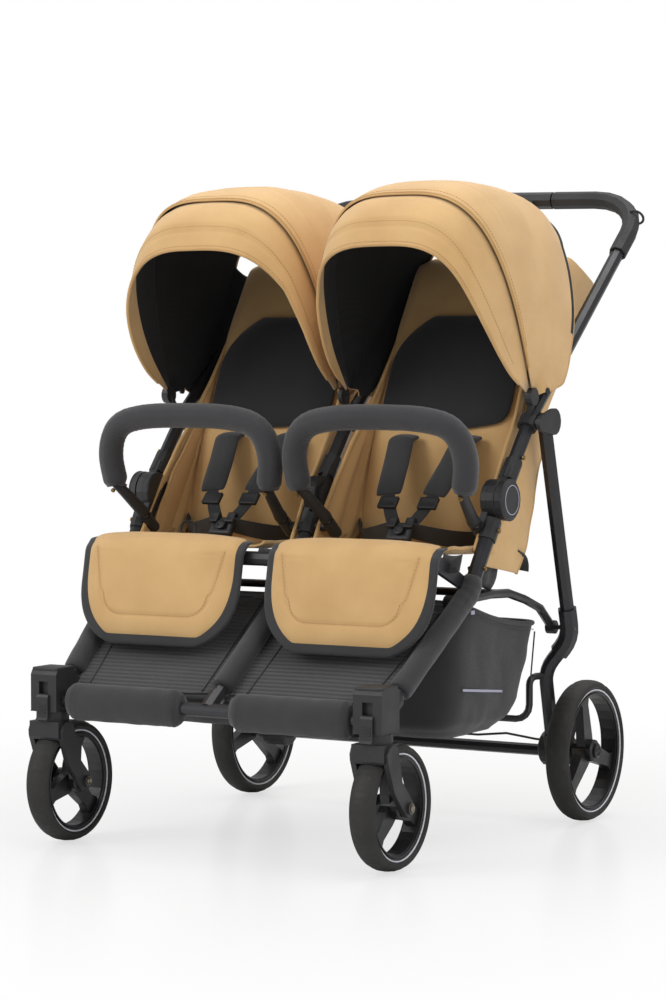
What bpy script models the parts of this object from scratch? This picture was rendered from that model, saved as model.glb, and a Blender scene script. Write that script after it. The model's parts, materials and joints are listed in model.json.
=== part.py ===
import bpy
import bmesh
import math
from mathutils import Matrix, Vector

# Side-by-side double stroller. Metres, +Z up, -Y is the front, origin on the floor at its middle.

# Clearances
GAP = 0.0003
SLIDE_GAP = 0.0005
WELD = 0.00002

# Wheels
FACETS = 32
REAR_WHEEL_RADIUS = 0.120
REAR_TYRE_WIDTH = 0.042
REAR_TYRE_DEPTH = 0.017
REAR_WHEEL_X = 0.332
REAR_AXLE_Y = 0.239
FRONT_WHEEL_RADIUS = 0.099
FRONT_TYRE_WIDTH = 0.044
FRONT_TYRE_DEPTH = 0.017
FRONT_WHEEL_X = 0.300
FRONT_AXLE_Y = -0.380
RIM_RING_DEPTH = 0.009
RIM_WIDTH = 0.032
SPOKE_COUNT = 3
SPOKE_THICKNESS = 0.016
SPOKE_HUB_WIDTH = 0.030
SPOKE_RIM_WIDTH = 0.022
WHEEL_HUB_RADIUS = 0.019
BOLT_RADIUS = 0.005
BOLT_HEAD_RADIUS = 0.009
BOLT_HEAD_LENGTH = 0.004
REAR_BORE_END = 0.013

# Casters
CASTER_AXIS_Y = -0.425
CROWN_BOTTOM = 0.172
CROWN_SHOULDER = 0.2015
CROWN_TOP = 0.2165
CROWN_HALF_WIDTH = 0.0285
CROWN_FRONT = 0.0262
TURRET_RADIUS = 0.026
FORK_SLOT_HALF = 0.0245
FORK_ARM_THICKNESS = 0.009
FORK_TOP_RADIUS = 0.018
FORK_END_RADIUS = 0.0145
HOUSING_BOTTOM = 0.2175
HOUSING_TOP = 0.287
HOUSING_HALF_WIDTH = 0.025
HOUSING_FRONT = 0.027
HOUSING_BACK = 0.028
HOUSING_ROUND = 0.010
STEM_RADIUS = 0.005
STEM_TOP = 0.262
BOSS_RADIUS = 0.0165
LOCK_WIDTH = 0.022
LOCK_THICKNESS = 0.0045
LOCK_BOTTOM = 0.2045
LOCK_TOP = 0.245
LOCK_WINDOW_TOP = 0.266

# Side tubes, given by their centre lines
LOWER_TUBE_RADIUS = 0.0125
UPPER_TUBE_RADIUS = 0.0115
CENTRE_TUBE_RADIUS = 0.0115
SIDE_X = 0.338
LOWER_BEND_X = 0.330
FOOT_X = 0.303
HINGE_Y = -0.092
HINGE_Z = 0.559
LOWER_BEND_Y = -0.182
LOWER_BEND_Z = 0.414
FOOT_Y = -0.372
FOOT_Z = 0.266
UPPER_BEND_Y = 0.020
UPPER_BEND_Z = 0.693
HANDLE_Y = 0.464
HANDLE_Z = 1.0645
HANDLE_CORNER_RADIUS = 0.10
BEND_RADIUS = 0.09
TUBE_SIDES = 2
GRIP_RADIUS = 0.0155
GRIP_BORE_RADIUS = 0.0125
GRIP_START = 0.055
GRIP_END_X = 0.160

# Fold joints
LUG_RADIUS = 0.033
LUG_THICKNESS = 0.0115
CAP_RADIUS = 0.0335
CAP_THICKNESS = 0.016
CENTRE_LUG_THICKNESS = 0.0105
CENTRE_CAP_RADIUS = 0.020
CENTRE_CAP_THICKNESS = 0.005
FOLD_PIN_RADIUS = 0.006
SLEEVE_RADIUS = 0.0148
SLEEVE_START = 0.038
LOWER_SLEEVE_END = 0.074
UPPER_SLEEVE_END = 0.078
WEB_HALF_WIDTH = 0.013

# Bumper bars
SEAT_X = 0.180
BUMPER_ARM_HALF = 0.137
BUMPER_END_HALF = 0.150
BUMPER_RADIUS = 0.0185
BUMPER_SOCKET_Y = -0.120
BUMPER_SOCKET_Z = 0.508
BUMPER_END_Y = -0.200
BUMPER_END_Z = 0.573
BUMPER_TOP_Y = -0.216
BUMPER_TOP_Z = 0.684
BUMPER_CORNER = 0.075
SOCKET_RADIUS = 0.0105
SOCKET_HALF_LENGTH = 0.018
BUMPER_PIN_RADIUS = 0.0058
BUMPER_ARM_RADIUS = 0.0085
SOCKET_WEB_RADIUS = 0.007
SOCKET_SHIFT = 0.001
SOCKET_REACH = 0.003

# Upper joints and canopy hubs
HUB_X = 0.352
HUB_Y = -0.008
HUB_Z = 0.723
HUB_KNOB_RADIUS = 0.0145
HUB_KNOB_HALF = 0.006
HUB_POST_RADIUS = 0.006
COLLAR_AT = 0.157
COLLAR_HALF = 0.010
COLLAR_RADIUS = 0.0165
LEG_PIVOT_X = 0.345
LEG_PIVOT_Y = 0.052
LEG_PIVOT_Z = 0.682
LEAF_THICKNESS = 0.007
LEAF_RADIUS = 0.022
LEAF_TIP_RADIUS = 0.013
PIVOT_PIN_RADIUS = 0.004
EYE_RADIUS = 0.0145

# Rear frame
REAR_TUBE_RADIUS = 0.0125
KINK_X = 0.337
KINK_Y = 0.170
KINK_Z = 0.318
ANKLE_X = 0.292
ANKLE_Y = 0.165
ANKLE_Z = 0.262
HEEL_X = 0.285
HEEL_Y = REAR_AXLE_Y - 0.034
HEEL_Z = REAR_WHEEL_RADIUS + 0.030
KINK_COVER_RADIUS = 0.0165
REAR_HUB_RADIUS = 0.030
REAR_HUB_INNER = 0.255
REAR_HUB_OUTER = 0.302
AXLE_TUBE_RADIUS = 0.010
AXLE_TUBE_DROP = 0.005
BASKET_TUBE_RADIUS = 0.006
BASKET_TUBE_X = 0.280
BASKET_TUBE_Y = 0.130
BASKET_TUBE_LOW = 0.180
BASKET_TUBE_HIGH = 0.252
CABLE_RADIUS = 0.002
PEDAL_AXIS_Y = REAR_AXLE_Y + 0.029
PEDAL_AXIS_Z = REAR_WHEEL_RADIUS + 0.032
PEDAL_PIN_RADIUS = 0.003
PEDAL_INNER = 0.2635
PEDAL_OUTER = 0.2915
PEDAL_EAR = 0.005
PEDAL_TIP_Y = PEDAL_AXIS_Y + 0.036
PEDAL_TIP_Z = PEDAL_AXIS_Z + 0.011

# Seat links
LINK_X = 0.306
LINK_RADIUS = 0.0075
LINK_FRONT_Y = -0.200
LINK_FRONT_Z = 0.400
LINK_BACK_Y = 0.161
LINK_BACK_Z = 0.335
LINK_EYE_RADIUS = 0.0115
CROSS_TUBE_Y = -0.030

# Front cross bar and seat front tube
CROSS_BAR_RADIUS = 0.011
CROSS_BAR_Y = -0.430
CROSS_BAR_Z = 0.235
STUB_LENGTH = 0.035
SEAT_TUBE_RADIUS = 0.0116
SEAT_TUBE_Y = -0.262
SEAT_TUBE_Z = 0.463
BRACKET_THICKNESS = 0.008


def clear_scene():
    for item in list(bpy.data.objects):
        bpy.data.objects.remove(item, do_unlink=True)
    for group in list(bpy.data.collections):
        bpy.data.collections.remove(group)


clear_scene()
parts = bpy.data.collections.new("double_stroller")
guides = bpy.data.collections.new("double_stroller_cutters")
bpy.context.scene.collection.children.link(parts)
bpy.context.scene.collection.children.link(guides)


def make_material(name, colour, roughness, metallic=0.0):
    material = bpy.data.materials.new(name)
    material.use_nodes = True
    shader = material.node_tree.nodes["Principled BSDF"]
    shader.inputs["Base Color"].default_value = (*colour, 1.0)
    shader.inputs["Roughness"].default_value = roughness
    shader.inputs["Metallic"].default_value = metallic
    return material


frame_paint = make_material("frame_paint", (0.020, 0.020, 0.022), 0.42, 0.2)
black_plastic = make_material("black_plastic", (0.016, 0.016, 0.017), 0.5)
foam = make_material("handle_foam", (0.022, 0.022, 0.024), 0.75)
tyre_rubber = make_material("tyre_rubber", (0.018, 0.017, 0.015), 0.8)
tan_cloth = make_material("tan_cloth", (0.60, 0.38, 0.17), 0.9)
black_cloth = make_material("black_cloth", (0.022, 0.022, 0.023), 0.92)


def settle(item, name, material, pieces=parts):
    """Turn an object into one welded mesh with its faces pointing out."""
    bpy.context.view_layer.update()
    evaluated = item.evaluated_get(bpy.context.evaluated_depsgraph_get())
    mesh = bpy.data.meshes.new_from_object(evaluated)
    work = bmesh.new()
    work.from_mesh(mesh)
    bmesh.ops.remove_doubles(work, verts=work.verts, dist=WELD)
    bmesh.ops.recalc_face_normals(work, faces=work.faces)
    work.to_mesh(mesh)
    work.free()
    place = item.matrix_world.copy()
    bpy.data.objects.remove(item, do_unlink=True)
    solid = bpy.data.objects.new(name, mesh)
    solid.matrix_world = place
    pieces.objects.link(solid)
    mesh.materials.clear()
    mesh.materials.append(material)
    mesh.shade_smooth()
    mesh.set_sharp_from_angle(angle=math.radians(35))
    if pieces is guides:
        solid.hide_render = True
        solid.display_type = "WIRE"
    return solid


def tube(name, points, radius, material, pieces=parts, sides=TUBE_SIDES, closed=False):
    data = bpy.data.curves.new(name, "CURVE")
    data.dimensions = "3D"
    data.bevel_depth = radius
    data.bevel_resolution = sides
    data.use_fill_caps = not closed
    spline = data.splines.new("POLY")
    spline.points.add(len(points) - 1)
    start = Vector(points[0])
    for point, place in zip(spline.points, points):
        point.co = (*(Vector(place) - start), 1.0)
    spline.use_cyclic_u = closed
    item = bpy.data.objects.new(name + "_curve", data)
    item.location = start
    parts.objects.link(item)
    return settle(item, name, material, pieces)


def guide_tube(points, radius, sides=TUBE_SIDES):
    return tube("guide_tube", points, radius, black_plastic, guides, sides)


def plate(name, outline, low_x, high_x, material, pieces=parts, holes=()):
    """Extrude an outline drawn in the Y-Z plane from low_x to high_x."""
    data = bpy.data.curves.new(name, "CURVE")
    data.dimensions = "2D"
    data.fill_mode = "BOTH"
    data.extrude = abs(high_x - low_x) / 2
    for ring in (outline, *holes):
        spline = data.splines.new("POLY")
        spline.points.add(len(ring) - 1)
        for point, place in zip(spline.points, ring):
            point.co = (place[0], place[1], 0.0, 1.0)
        spline.use_cyclic_u = True
    item = bpy.data.objects.new(name + "_curve", data)
    item.location = ((low_x + high_x) / 2, 0, 0)
    item.rotation_euler = (math.pi / 2, 0, math.pi / 2)
    parts.objects.link(item)
    return settle(item, name, material, pieces)


def guide_plate(outline, low_x, high_x):
    return plate("guide_plate", outline, low_x, high_x, black_plastic, guides)


def turned(name, profile, centre, steps, material, pieces=parts, closed=False, phase=0.0):
    """Turn a profile of (radius, x) points about an X axis through centre."""
    mesh = bpy.data.meshes.new(name)
    work = bmesh.new()
    ring = [work.verts.new((radius, 0, along)) for radius, along in profile]
    pairs = list(zip(ring, ring[1:]))
    if closed:
        pairs.append((ring[-1], ring[0]))
    for first, second in pairs:
        work.edges.new((first, second))
    work.to_mesh(mesh)
    work.free()
    item = bpy.data.objects.new(name + "_profile", mesh)
    parts.objects.link(item)
    screw = item.modifiers.new("turn", "SCREW")
    screw.steps = steps
    screw.render_steps = steps
    screw.use_merge_vertices = True
    screw.merge_threshold = WELD
    item.location = (0, centre[0], centre[1])
    item.rotation_euler = (phase, math.pi / 2, 0)
    item.rotation_mode = "XYZ"
    item.matrix_world = (
        Matrix.Translation((0, centre[0], centre[1]))
        @ Matrix.Rotation(phase, 4, "X")
        @ Matrix.Rotation(math.pi / 2, 4, "Y")
    )
    return settle(item, name, material, pieces)


def guide_turned(profile, centre, steps, phase=0.0):
    return turned("guide_turned", profile, centre, steps, black_plastic, guides, False, phase)


def join(item, *others):
    for other in others:
        union = item.modifiers.new("join", "BOOLEAN")
        union.operation = "UNION"
        union.solver = "EXACT"
        union.object = other
    return item


def cut(item, *others):
    for other in others:
        difference = item.modifiers.new("cut", "BOOLEAN")
        difference.operation = "DIFFERENCE"
        difference.solver = "EXACT"
        difference.object = other
    return item


def capsule(first, first_radius, second, second_radius, steps=8):
    """Outline round two circles in the Y-Z plane."""
    a = Vector(first)
    b = Vector(second)
    heading = math.atan2(b.y - a.y, b.x - a.x)
    lean = math.asin((first_radius - second_radius) / (b - a).length)
    outline = []
    for centre, radius, start, end in (
        (b, second_radius, -math.pi / 2 + lean, math.pi / 2 - lean),
        (a, first_radius, math.pi / 2 - lean, 3 * math.pi / 2 + lean),
    ):
        for step in range(steps + 1):
            angle = heading + start + (end - start) * step / steps
            outline.append((centre.x + radius * math.cos(angle), centre.y + radius * math.sin(angle)))
    return outline


def rounded(points, radius, steps=4):
    """A path with its inner corners rounded off."""
    path = [Vector(points[0])]
    for before, corner, after in zip(points, points[1:], points[2:]):
        before, corner, after = Vector(before), Vector(corner), Vector(after)
        back = (before - corner).normalized()
        ahead = (after - corner).normalized()
        half = back.angle(ahead) / 2
        reach = min(radius / math.tan(half), 0.49 * (before - corner).length, 0.49 * (after - corner).length)
        bend = reach * math.tan(half)
        middle = corner + (back + ahead).normalized() * (bend / math.sin(half))
        for step in range(steps + 1):
            blend = step / steps
            start = corner + back * reach - middle
            end = corner + ahead * reach - middle
            path.append(middle + start.slerp(end, blend).normalized() * bend)
    path.append(Vector(points[-1]))
    return path


def side_point(side, x, y, z):
    return Vector((side * x, y, z))


def pivot(name, place):
    empty = bpy.data.objects.new(name, None)
    empty.empty_display_size = 0.03
    empty.location = place
    parts.objects.link(empty)
    return empty


def hang(empty, *items):
    for item in items:
        item.parent = empty
        item.matrix_parent_inverse = Matrix.Translation(empty.location).inverted()


SIDES = (("left", -1), ("right", 1))

# Directions along the side tubes, from the fold axis
hinge = Vector((HINGE_Y, HINGE_Z))
lower_way = (Vector((LOWER_BEND_Y, LOWER_BEND_Z)) - hinge).normalized()
upper_way = (Vector((UPPER_BEND_Y, UPPER_BEND_Z)) - hinge).normalized()
handle_way = (Vector((HANDLE_Y, HANDLE_Z)) - Vector((UPPER_BEND_Y, UPPER_BEND_Z))).normalized()
bumper_way = Vector((BUMPER_END_Y - BUMPER_SOCKET_Y, BUMPER_END_Z - BUMPER_SOCKET_Z)).normalized()


def on_lower(side_x, distance):
    spot = hinge + lower_way * distance
    share = distance / (Vector((LOWER_BEND_Y, LOWER_BEND_Z)) - hinge).length
    return Vector((side_x * (1 + (LOWER_BEND_X / SIDE_X - 1) * share), spot.x, spot.y))


def on_upper(side_x, distance):
    spot = hinge + upper_way * distance
    return Vector((side_x, spot.x, spot.y))


def on_bumper(x, distance):
    return Vector((
        x,
        BUMPER_SOCKET_Y + bumper_way.x * distance,
        BUMPER_SOCKET_Z + bumper_way.y * distance,
    ))


def web_outline(way, length):
    across = Vector((-way.y, way.x)) * WEB_HALF_WIDTH
    far = hinge + way * length
    near = hinge + way * FOLD_PIN_RADIUS * 2
    return [tuple(near - across), tuple(far - across), tuple(far + across), tuple(near + across)]


def socket(x, material, name=None):
    pieces = parts if name else guides
    ends = [on_bumper(x, -SOCKET_HALF_LENGTH), on_bumper(x, SOCKET_HALF_LENGTH)]
    return tube(name or "guide_socket", ends, SOCKET_RADIUS, material, pieces)


def socket_bore(x):
    reach = SOCKET_HALF_LENGTH + 0.01
    ends = [on_bumper(x, -reach), on_bumper(x, reach)]
    return guide_tube(ends, BUMPER_PIN_RADIUS + 2 * SLIDE_GAP)


# Fold castings: the lower half carries the pin and the round cap, the upper half turns on the pin
lug_inner = SIDE_X - LUG_THICKNESS - FOLD_PIN_RADIUS - 0.0025
lug_split = lug_inner + LUG_THICKNESS
lug_outer = lug_split + GAP + LUG_THICKNESS + 0.0025
cap_start = lug_outer + GAP
cap_end = cap_start + CAP_THICKNESS
for word, side in SIDES:
    inner, split, outer = side * lug_inner, side * lug_split, side * lug_outer
    casting = turned(
        "fold_joint_lower_" + word,
        [
            (0, inner), (LUG_RADIUS - 0.002, inner), (LUG_RADIUS, inner + side * 0.002),
            (LUG_RADIUS, split), (FOLD_PIN_RADIUS, split), (FOLD_PIN_RADIUS, side * cap_start),
            (CAP_RADIUS, side * cap_start), (CAP_RADIUS, side * (cap_end - 0.004)),
            (CAP_RADIUS - 0.004, side * cap_end), (0, side * cap_end),
        ],
        hinge, 16, black_plastic,
    )
    sleeve = guide_tube(
        [on_lower(side * SIDE_X, SLEEVE_START), on_lower(side * SIDE_X, LOWER_SLEEVE_END)], SLEEVE_RADIUS,
    )
    web = guide_plate(web_outline(lower_way, SLEEVE_START + 0.02), inner + side * 0.0003, split - side * 0.0002)
    bumper_x = side * (SEAT_X + BUMPER_ARM_HALF)
    bumper_socket = socket(bumper_x, black_plastic)
    bridge = guide_tube(
        [on_bumper(bumper_x, SOCKET_SHIFT), on_bumper(inner + side * SOCKET_REACH, SOCKET_SHIFT)], SOCKET_WEB_RADIUS,
    )
    join(casting, web, sleeve, bumper_socket, bridge)
    cut(casting, socket_bore(bumper_x))
    upper = turned(
        "fold_joint_upper_" + word,
        [
            (FOLD_PIN_RADIUS + GAP * 2, split + side * GAP), (LUG_RADIUS, split + side * GAP),
            (LUG_RADIUS, side * lug_outer - side * 0.002), (LUG_RADIUS - 0.002, side * lug_outer),
            (FOLD_PIN_RADIUS + GAP * 2, side * lug_outer),
        ],
        hinge, 16, black_plastic, closed=True,
    )
    upper_sleeve = guide_tube(
        [on_upper(side * SIDE_X, SLEEVE_START), on_upper(side * SIDE_X, UPPER_SLEEVE_END)], SLEEVE_RADIUS,
    )
    upper_web = guide_plate(
        web_outline(upper_way, SLEEVE_START + 0.02), split + side * (GAP + 0.0002), side * (lug_outer - 0.0003),
    )
    join(upper, upper_web, upper_sleeve)

centre_inner = -CENTRE_LUG_THICKNESS
centre_outer = CENTRE_LUG_THICKNESS + GAP
centre_cap = centre_outer + GAP
casting = turned(
    "fold_joint_lower_centre",
    [
        (0, centre_inner), (LUG_RADIUS - 0.002, centre_inner), (LUG_RADIUS, centre_inner + 0.002),
        (LUG_RADIUS, 0), (FOLD_PIN_RADIUS, 0), (FOLD_PIN_RADIUS, centre_cap),
        (CENTRE_CAP_RADIUS, centre_cap), (CENTRE_CAP_RADIUS, centre_cap + CENTRE_CAP_THICKNESS),
        (0, centre_cap + CENTRE_CAP_THICKNESS),
    ],
    hinge, 24, black_plastic,
)
arm_x = SEAT_X - BUMPER_ARM_HALF
centre_sleeve = guide_tube([on_lower(0, SLEEVE_START), on_lower(0, LOWER_SLEEVE_END)], SLEEVE_RADIUS)
centre_web = guide_plate(web_outline(lower_way, SLEEVE_START + 0.02), centre_inner + 0.0003, -0.0002)
yoke = guide_tube([on_bumper(-arm_x, SOCKET_SHIFT), on_bumper(arm_x, SOCKET_SHIFT)], SOCKET_WEB_RADIUS)
join(casting, centre_web, centre_sleeve, yoke, socket(arm_x, black_plastic), socket(-arm_x, black_plastic))
cut(casting, socket_bore(arm_x), socket_bore(-arm_x))
upper = turned(
    "fold_joint_upper_centre",
    [
        (FOLD_PIN_RADIUS + GAP * 2, GAP), (LUG_RADIUS, GAP), (LUG_RADIUS, centre_outer - 0.002),
        (LUG_RADIUS - 0.002, centre_outer), (FOLD_PIN_RADIUS + GAP * 2, centre_outer),
    ],
    hinge, 24, black_plastic, closed=True,
)
centre_upper_sleeve = guide_tube([on_upper(0, SLEEVE_START), on_upper(0, UPPER_SLEEVE_END)], SLEEVE_RADIUS)
centre_upper_web = guide_plate(web_outline(upper_way, SLEEVE_START + 0.02), GAP + 0.0002, centre_outer - 0.0003)
join(upper, centre_upper_web, centre_upper_sleeve)

# Front legs with the pin of the seat link and the bracket of the seat front tube
for word, side in SIDES:
    path = rounded(
        [
            on_lower(side * SIDE_X, LOWER_SLEEVE_END + GAP),
            side_point(side, LOWER_BEND_X, LOWER_BEND_Y, LOWER_BEND_Z),
            side_point(side, FOOT_X, FOOT_Y, FOOT_Z),
        ],
        BEND_RADIUS,
    )
    leg = tube("front_leg_" + word, path, LOWER_TUBE_RADIUS, frame_paint)
    pin = guide_tube(
        [
            side_point(side, LINK_X - LINK_RADIUS - 0.001, LINK_FRONT_Y, LINK_FRONT_Z),
            side_point(side, LOWER_BEND_X, LINK_FRONT_Y, LINK_FRONT_Z),
        ],
        PIVOT_PIN_RADIUS,
    )
    bracket_inner = side * (LOWER_BEND_X - LOWER_TUBE_RADIUS - 0.002)
    bracket = guide_plate(
        capsule((SEAT_TUBE_Y, SEAT_TUBE_Z), SEAT_TUBE_RADIUS + 0.001, (LOWER_BEND_Y + 0.008, LOWER_BEND_Z + 0.012), 0.010),
        bracket_inner, bracket_inner + side * BRACKET_THICKNESS,
    )
    join(leg, pin, bracket)

bar_middle = Vector((0, CROSS_BAR_Y, CROSS_BAR_Z))
centre_bend = Vector((0, LOWER_BEND_Y, LOWER_BEND_Z))
stub_way = (centre_bend - bar_middle).normalized()
centre_path = rounded(
    [on_lower(0, LOWER_SLEEVE_END + GAP), centre_bend, bar_middle + stub_way * (STUB_LENGTH + GAP)],
    BEND_RADIUS,
)
tube("centre_leg", centre_path, CENTRE_TUBE_RADIUS, frame_paint)
bar_end = FRONT_WHEEL_X - HOUSING_HALF_WIDTH - GAP
cross_bar = tube(
    "front_cross_bar",
    [Vector((-bar_end, CROSS_BAR_Y, CROSS_BAR_Z)), Vector((bar_end, CROSS_BAR_Y, CROSS_BAR_Z))],
    CROSS_BAR_RADIUS, frame_paint, sides=4,
)
join(cross_bar, guide_tube([bar_middle, bar_middle + stub_way * STUB_LENGTH], CENTRE_TUBE_RADIUS + 0.0025))
seat_tube_end = LOWER_BEND_X - LOWER_TUBE_RADIUS - 0.002 - GAP
tube(
    "seat_front_tube",
    [Vector((-seat_tube_end, SEAT_TUBE_Y, SEAT_TUBE_Z)), Vector((seat_tube_end, SEAT_TUBE_Y, SEAT_TUBE_Z))],
    SEAT_TUBE_RADIUS, black_plastic,
)

# Caster housings, forks, locks and front wheels
front_axle = (FRONT_AXLE_Y, FRONT_WHEEL_RADIUS)
housing_front = CASTER_AXIS_Y - HOUSING_FRONT
housing_back = CASTER_AXIS_Y + HOUSING_BACK
for word, side in SIDES:
    centre_x = side * FRONT_WHEEL_X
    housing = plate(
        "caster_housing_" + word,
        [
            (housing_front, HOUSING_BOTTOM), (housing_back, HOUSING_BOTTOM),
            (housing_back, HOUSING_TOP - HOUSING_ROUND), (housing_back - 0.4 * HOUSING_ROUND, HOUSING_TOP - 0.3 * HOUSING_ROUND),
            (housing_back - HOUSING_ROUND, HOUSING_TOP), (housing_front + HOUSING_ROUND, HOUSING_TOP),
            (housing_front + 0.4 * HOUSING_ROUND, HOUSING_TOP - 0.3 * HOUSING_ROUND), (housing_front, HOUSING_TOP - HOUSING_ROUND),
        ],
        centre_x - HOUSING_HALF_WIDTH, centre_x + HOUSING_HALF_WIDTH, black_plastic,
    )
    leg_foot = side_point(side, FOOT_X, FOOT_Y, FOOT_Z)
    leg_toe = (leg_foot - side_point(side, LOWER_BEND_X, LOWER_BEND_Y, LOWER_BEND_Z)).normalized()
    boss = guide_tube([leg_foot + leg_toe * GAP, leg_foot + leg_toe * 0.040], BOSS_RADIUS)
    window = guide_plate(
        [
            (housing_front - 0.01, LOCK_TOP + 0.001), (housing_front + 0.008, LOCK_TOP + 0.001),
            (housing_front + 0.008, LOCK_WINDOW_TOP), (housing_front - 0.01, LOCK_WINDOW_TOP),
        ],
        centre_x - LOCK_WIDTH / 2 + 0.002, centre_x + LOCK_WIDTH / 2 - 0.002,
    )
    stem_path = [
        Vector((centre_x, CASTER_AXIS_Y, CROWN_TOP - 0.004)), Vector((centre_x, CASTER_AXIS_Y, STEM_TOP)),
    ]
    stem_bore = [
        Vector((centre_x, CASTER_AXIS_Y, HOUSING_BOTTOM - 0.01)), Vector((centre_x, CASTER_AXIS_Y, STEM_TOP + 0.001)),
    ]
    join(housing, boss)
    cut(housing, window, guide_tube(stem_bore, STEM_RADIUS + SLIDE_GAP))

    lock = plate(
        "swivel_lock_" + word,
        [
            (housing_front - SLIDE_GAP, LOCK_BOTTOM), (housing_front - SLIDE_GAP, LOCK_TOP),
            (housing_front - LOCK_THICKNESS * 0.5, LOCK_TOP), (housing_front - LOCK_THICKNESS, LOCK_TOP - 0.004),
            (housing_front - LOCK_THICKNESS, LOCK_BOTTOM + 0.004),
            (housing_front - LOCK_THICKNESS - 0.003, LOCK_BOTTOM),
        ],
        centre_x - LOCK_WIDTH / 2, centre_x + LOCK_WIDTH / 2, black_plastic,
    )
    hang(pivot("swivel_lock_" + word + "_slide", (centre_x, housing_front, LOCK_TOP)), lock)

    crown_front = CASTER_AXIS_Y - CROWN_FRONT
    fork = plate(
        "caster_fork_" + word,
        [
            (crown_front, CROWN_SHOULDER), (crown_front, CROWN_BOTTOM + 0.004), (crown_front + 0.003, CROWN_BOTTOM),
            (CASTER_AXIS_Y - 0.010, 0.1895), (CASTER_AXIS_Y + 0.004, 0.1965), (CASTER_AXIS_Y + 0.022, CROWN_SHOULDER - 0.001),
            (CASTER_AXIS_Y + 0.022, CROWN_SHOULDER),
        ],
        centre_x - CROWN_HALF_WIDTH, centre_x + CROWN_HALF_WIDTH, black_plastic,
    )
    turret = guide_tube(
        [Vector((centre_x, CASTER_AXIS_Y, CROWN_SHOULDER - 0.004)), Vector((centre_x, CASTER_AXIS_Y, CROWN_TOP))],
        TURRET_RADIUS, 5,
    )
    arm_outline = capsule(
        (CASTER_AXIS_Y - 0.005, CROWN_SHOULDER - FORK_TOP_RADIUS - 0.0005), FORK_TOP_RADIUS,
        (CASTER_AXIS_Y + 0.010, 0.135), 0.014, 6,
    )
    toe_outline = capsule((CASTER_AXIS_Y + 0.010, 0.135), 0.0142, front_axle, FORK_END_RADIUS, 6)
    pieces = [turret, guide_tube(stem_path, STEM_RADIUS)]
    for turn in (-1, 1):
        arm_inner = centre_x + turn * FORK_SLOT_HALF
        arm_outer = arm_inner + turn * FORK_ARM_THICKNESS
        pieces.append(guide_plate(arm_outline, arm_inner, arm_outer))
        pieces.append(guide_plate(toe_outline, arm_inner + turn * 0.0004, arm_outer - turn * 0.0004))
    half = FORK_SLOT_HALF + FORK_ARM_THICKNESS
    pieces.append(guide_turned(
        [
            (0, centre_x - half - BOLT_HEAD_LENGTH), (BOLT_HEAD_RADIUS, centre_x - half - BOLT_HEAD_LENGTH),
            (BOLT_HEAD_RADIUS, centre_x - half + 0.002), (BOLT_RADIUS, centre_x - half + 0.002),
            (BOLT_RADIUS, centre_x + half - 0.002), (BOLT_HEAD_RADIUS, centre_x + half - 0.002),
            (BOLT_HEAD_RADIUS, centre_x + half + BOLT_HEAD_LENGTH), (0, centre_x + half + BOLT_HEAD_LENGTH),
        ],
        front_axle, 12,
    ))
    join(fork, *pieces)
    hang(pivot("caster_" + word + "_swivel", (centre_x, CASTER_AXIS_Y, CROWN_TOP)), fork)


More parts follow.
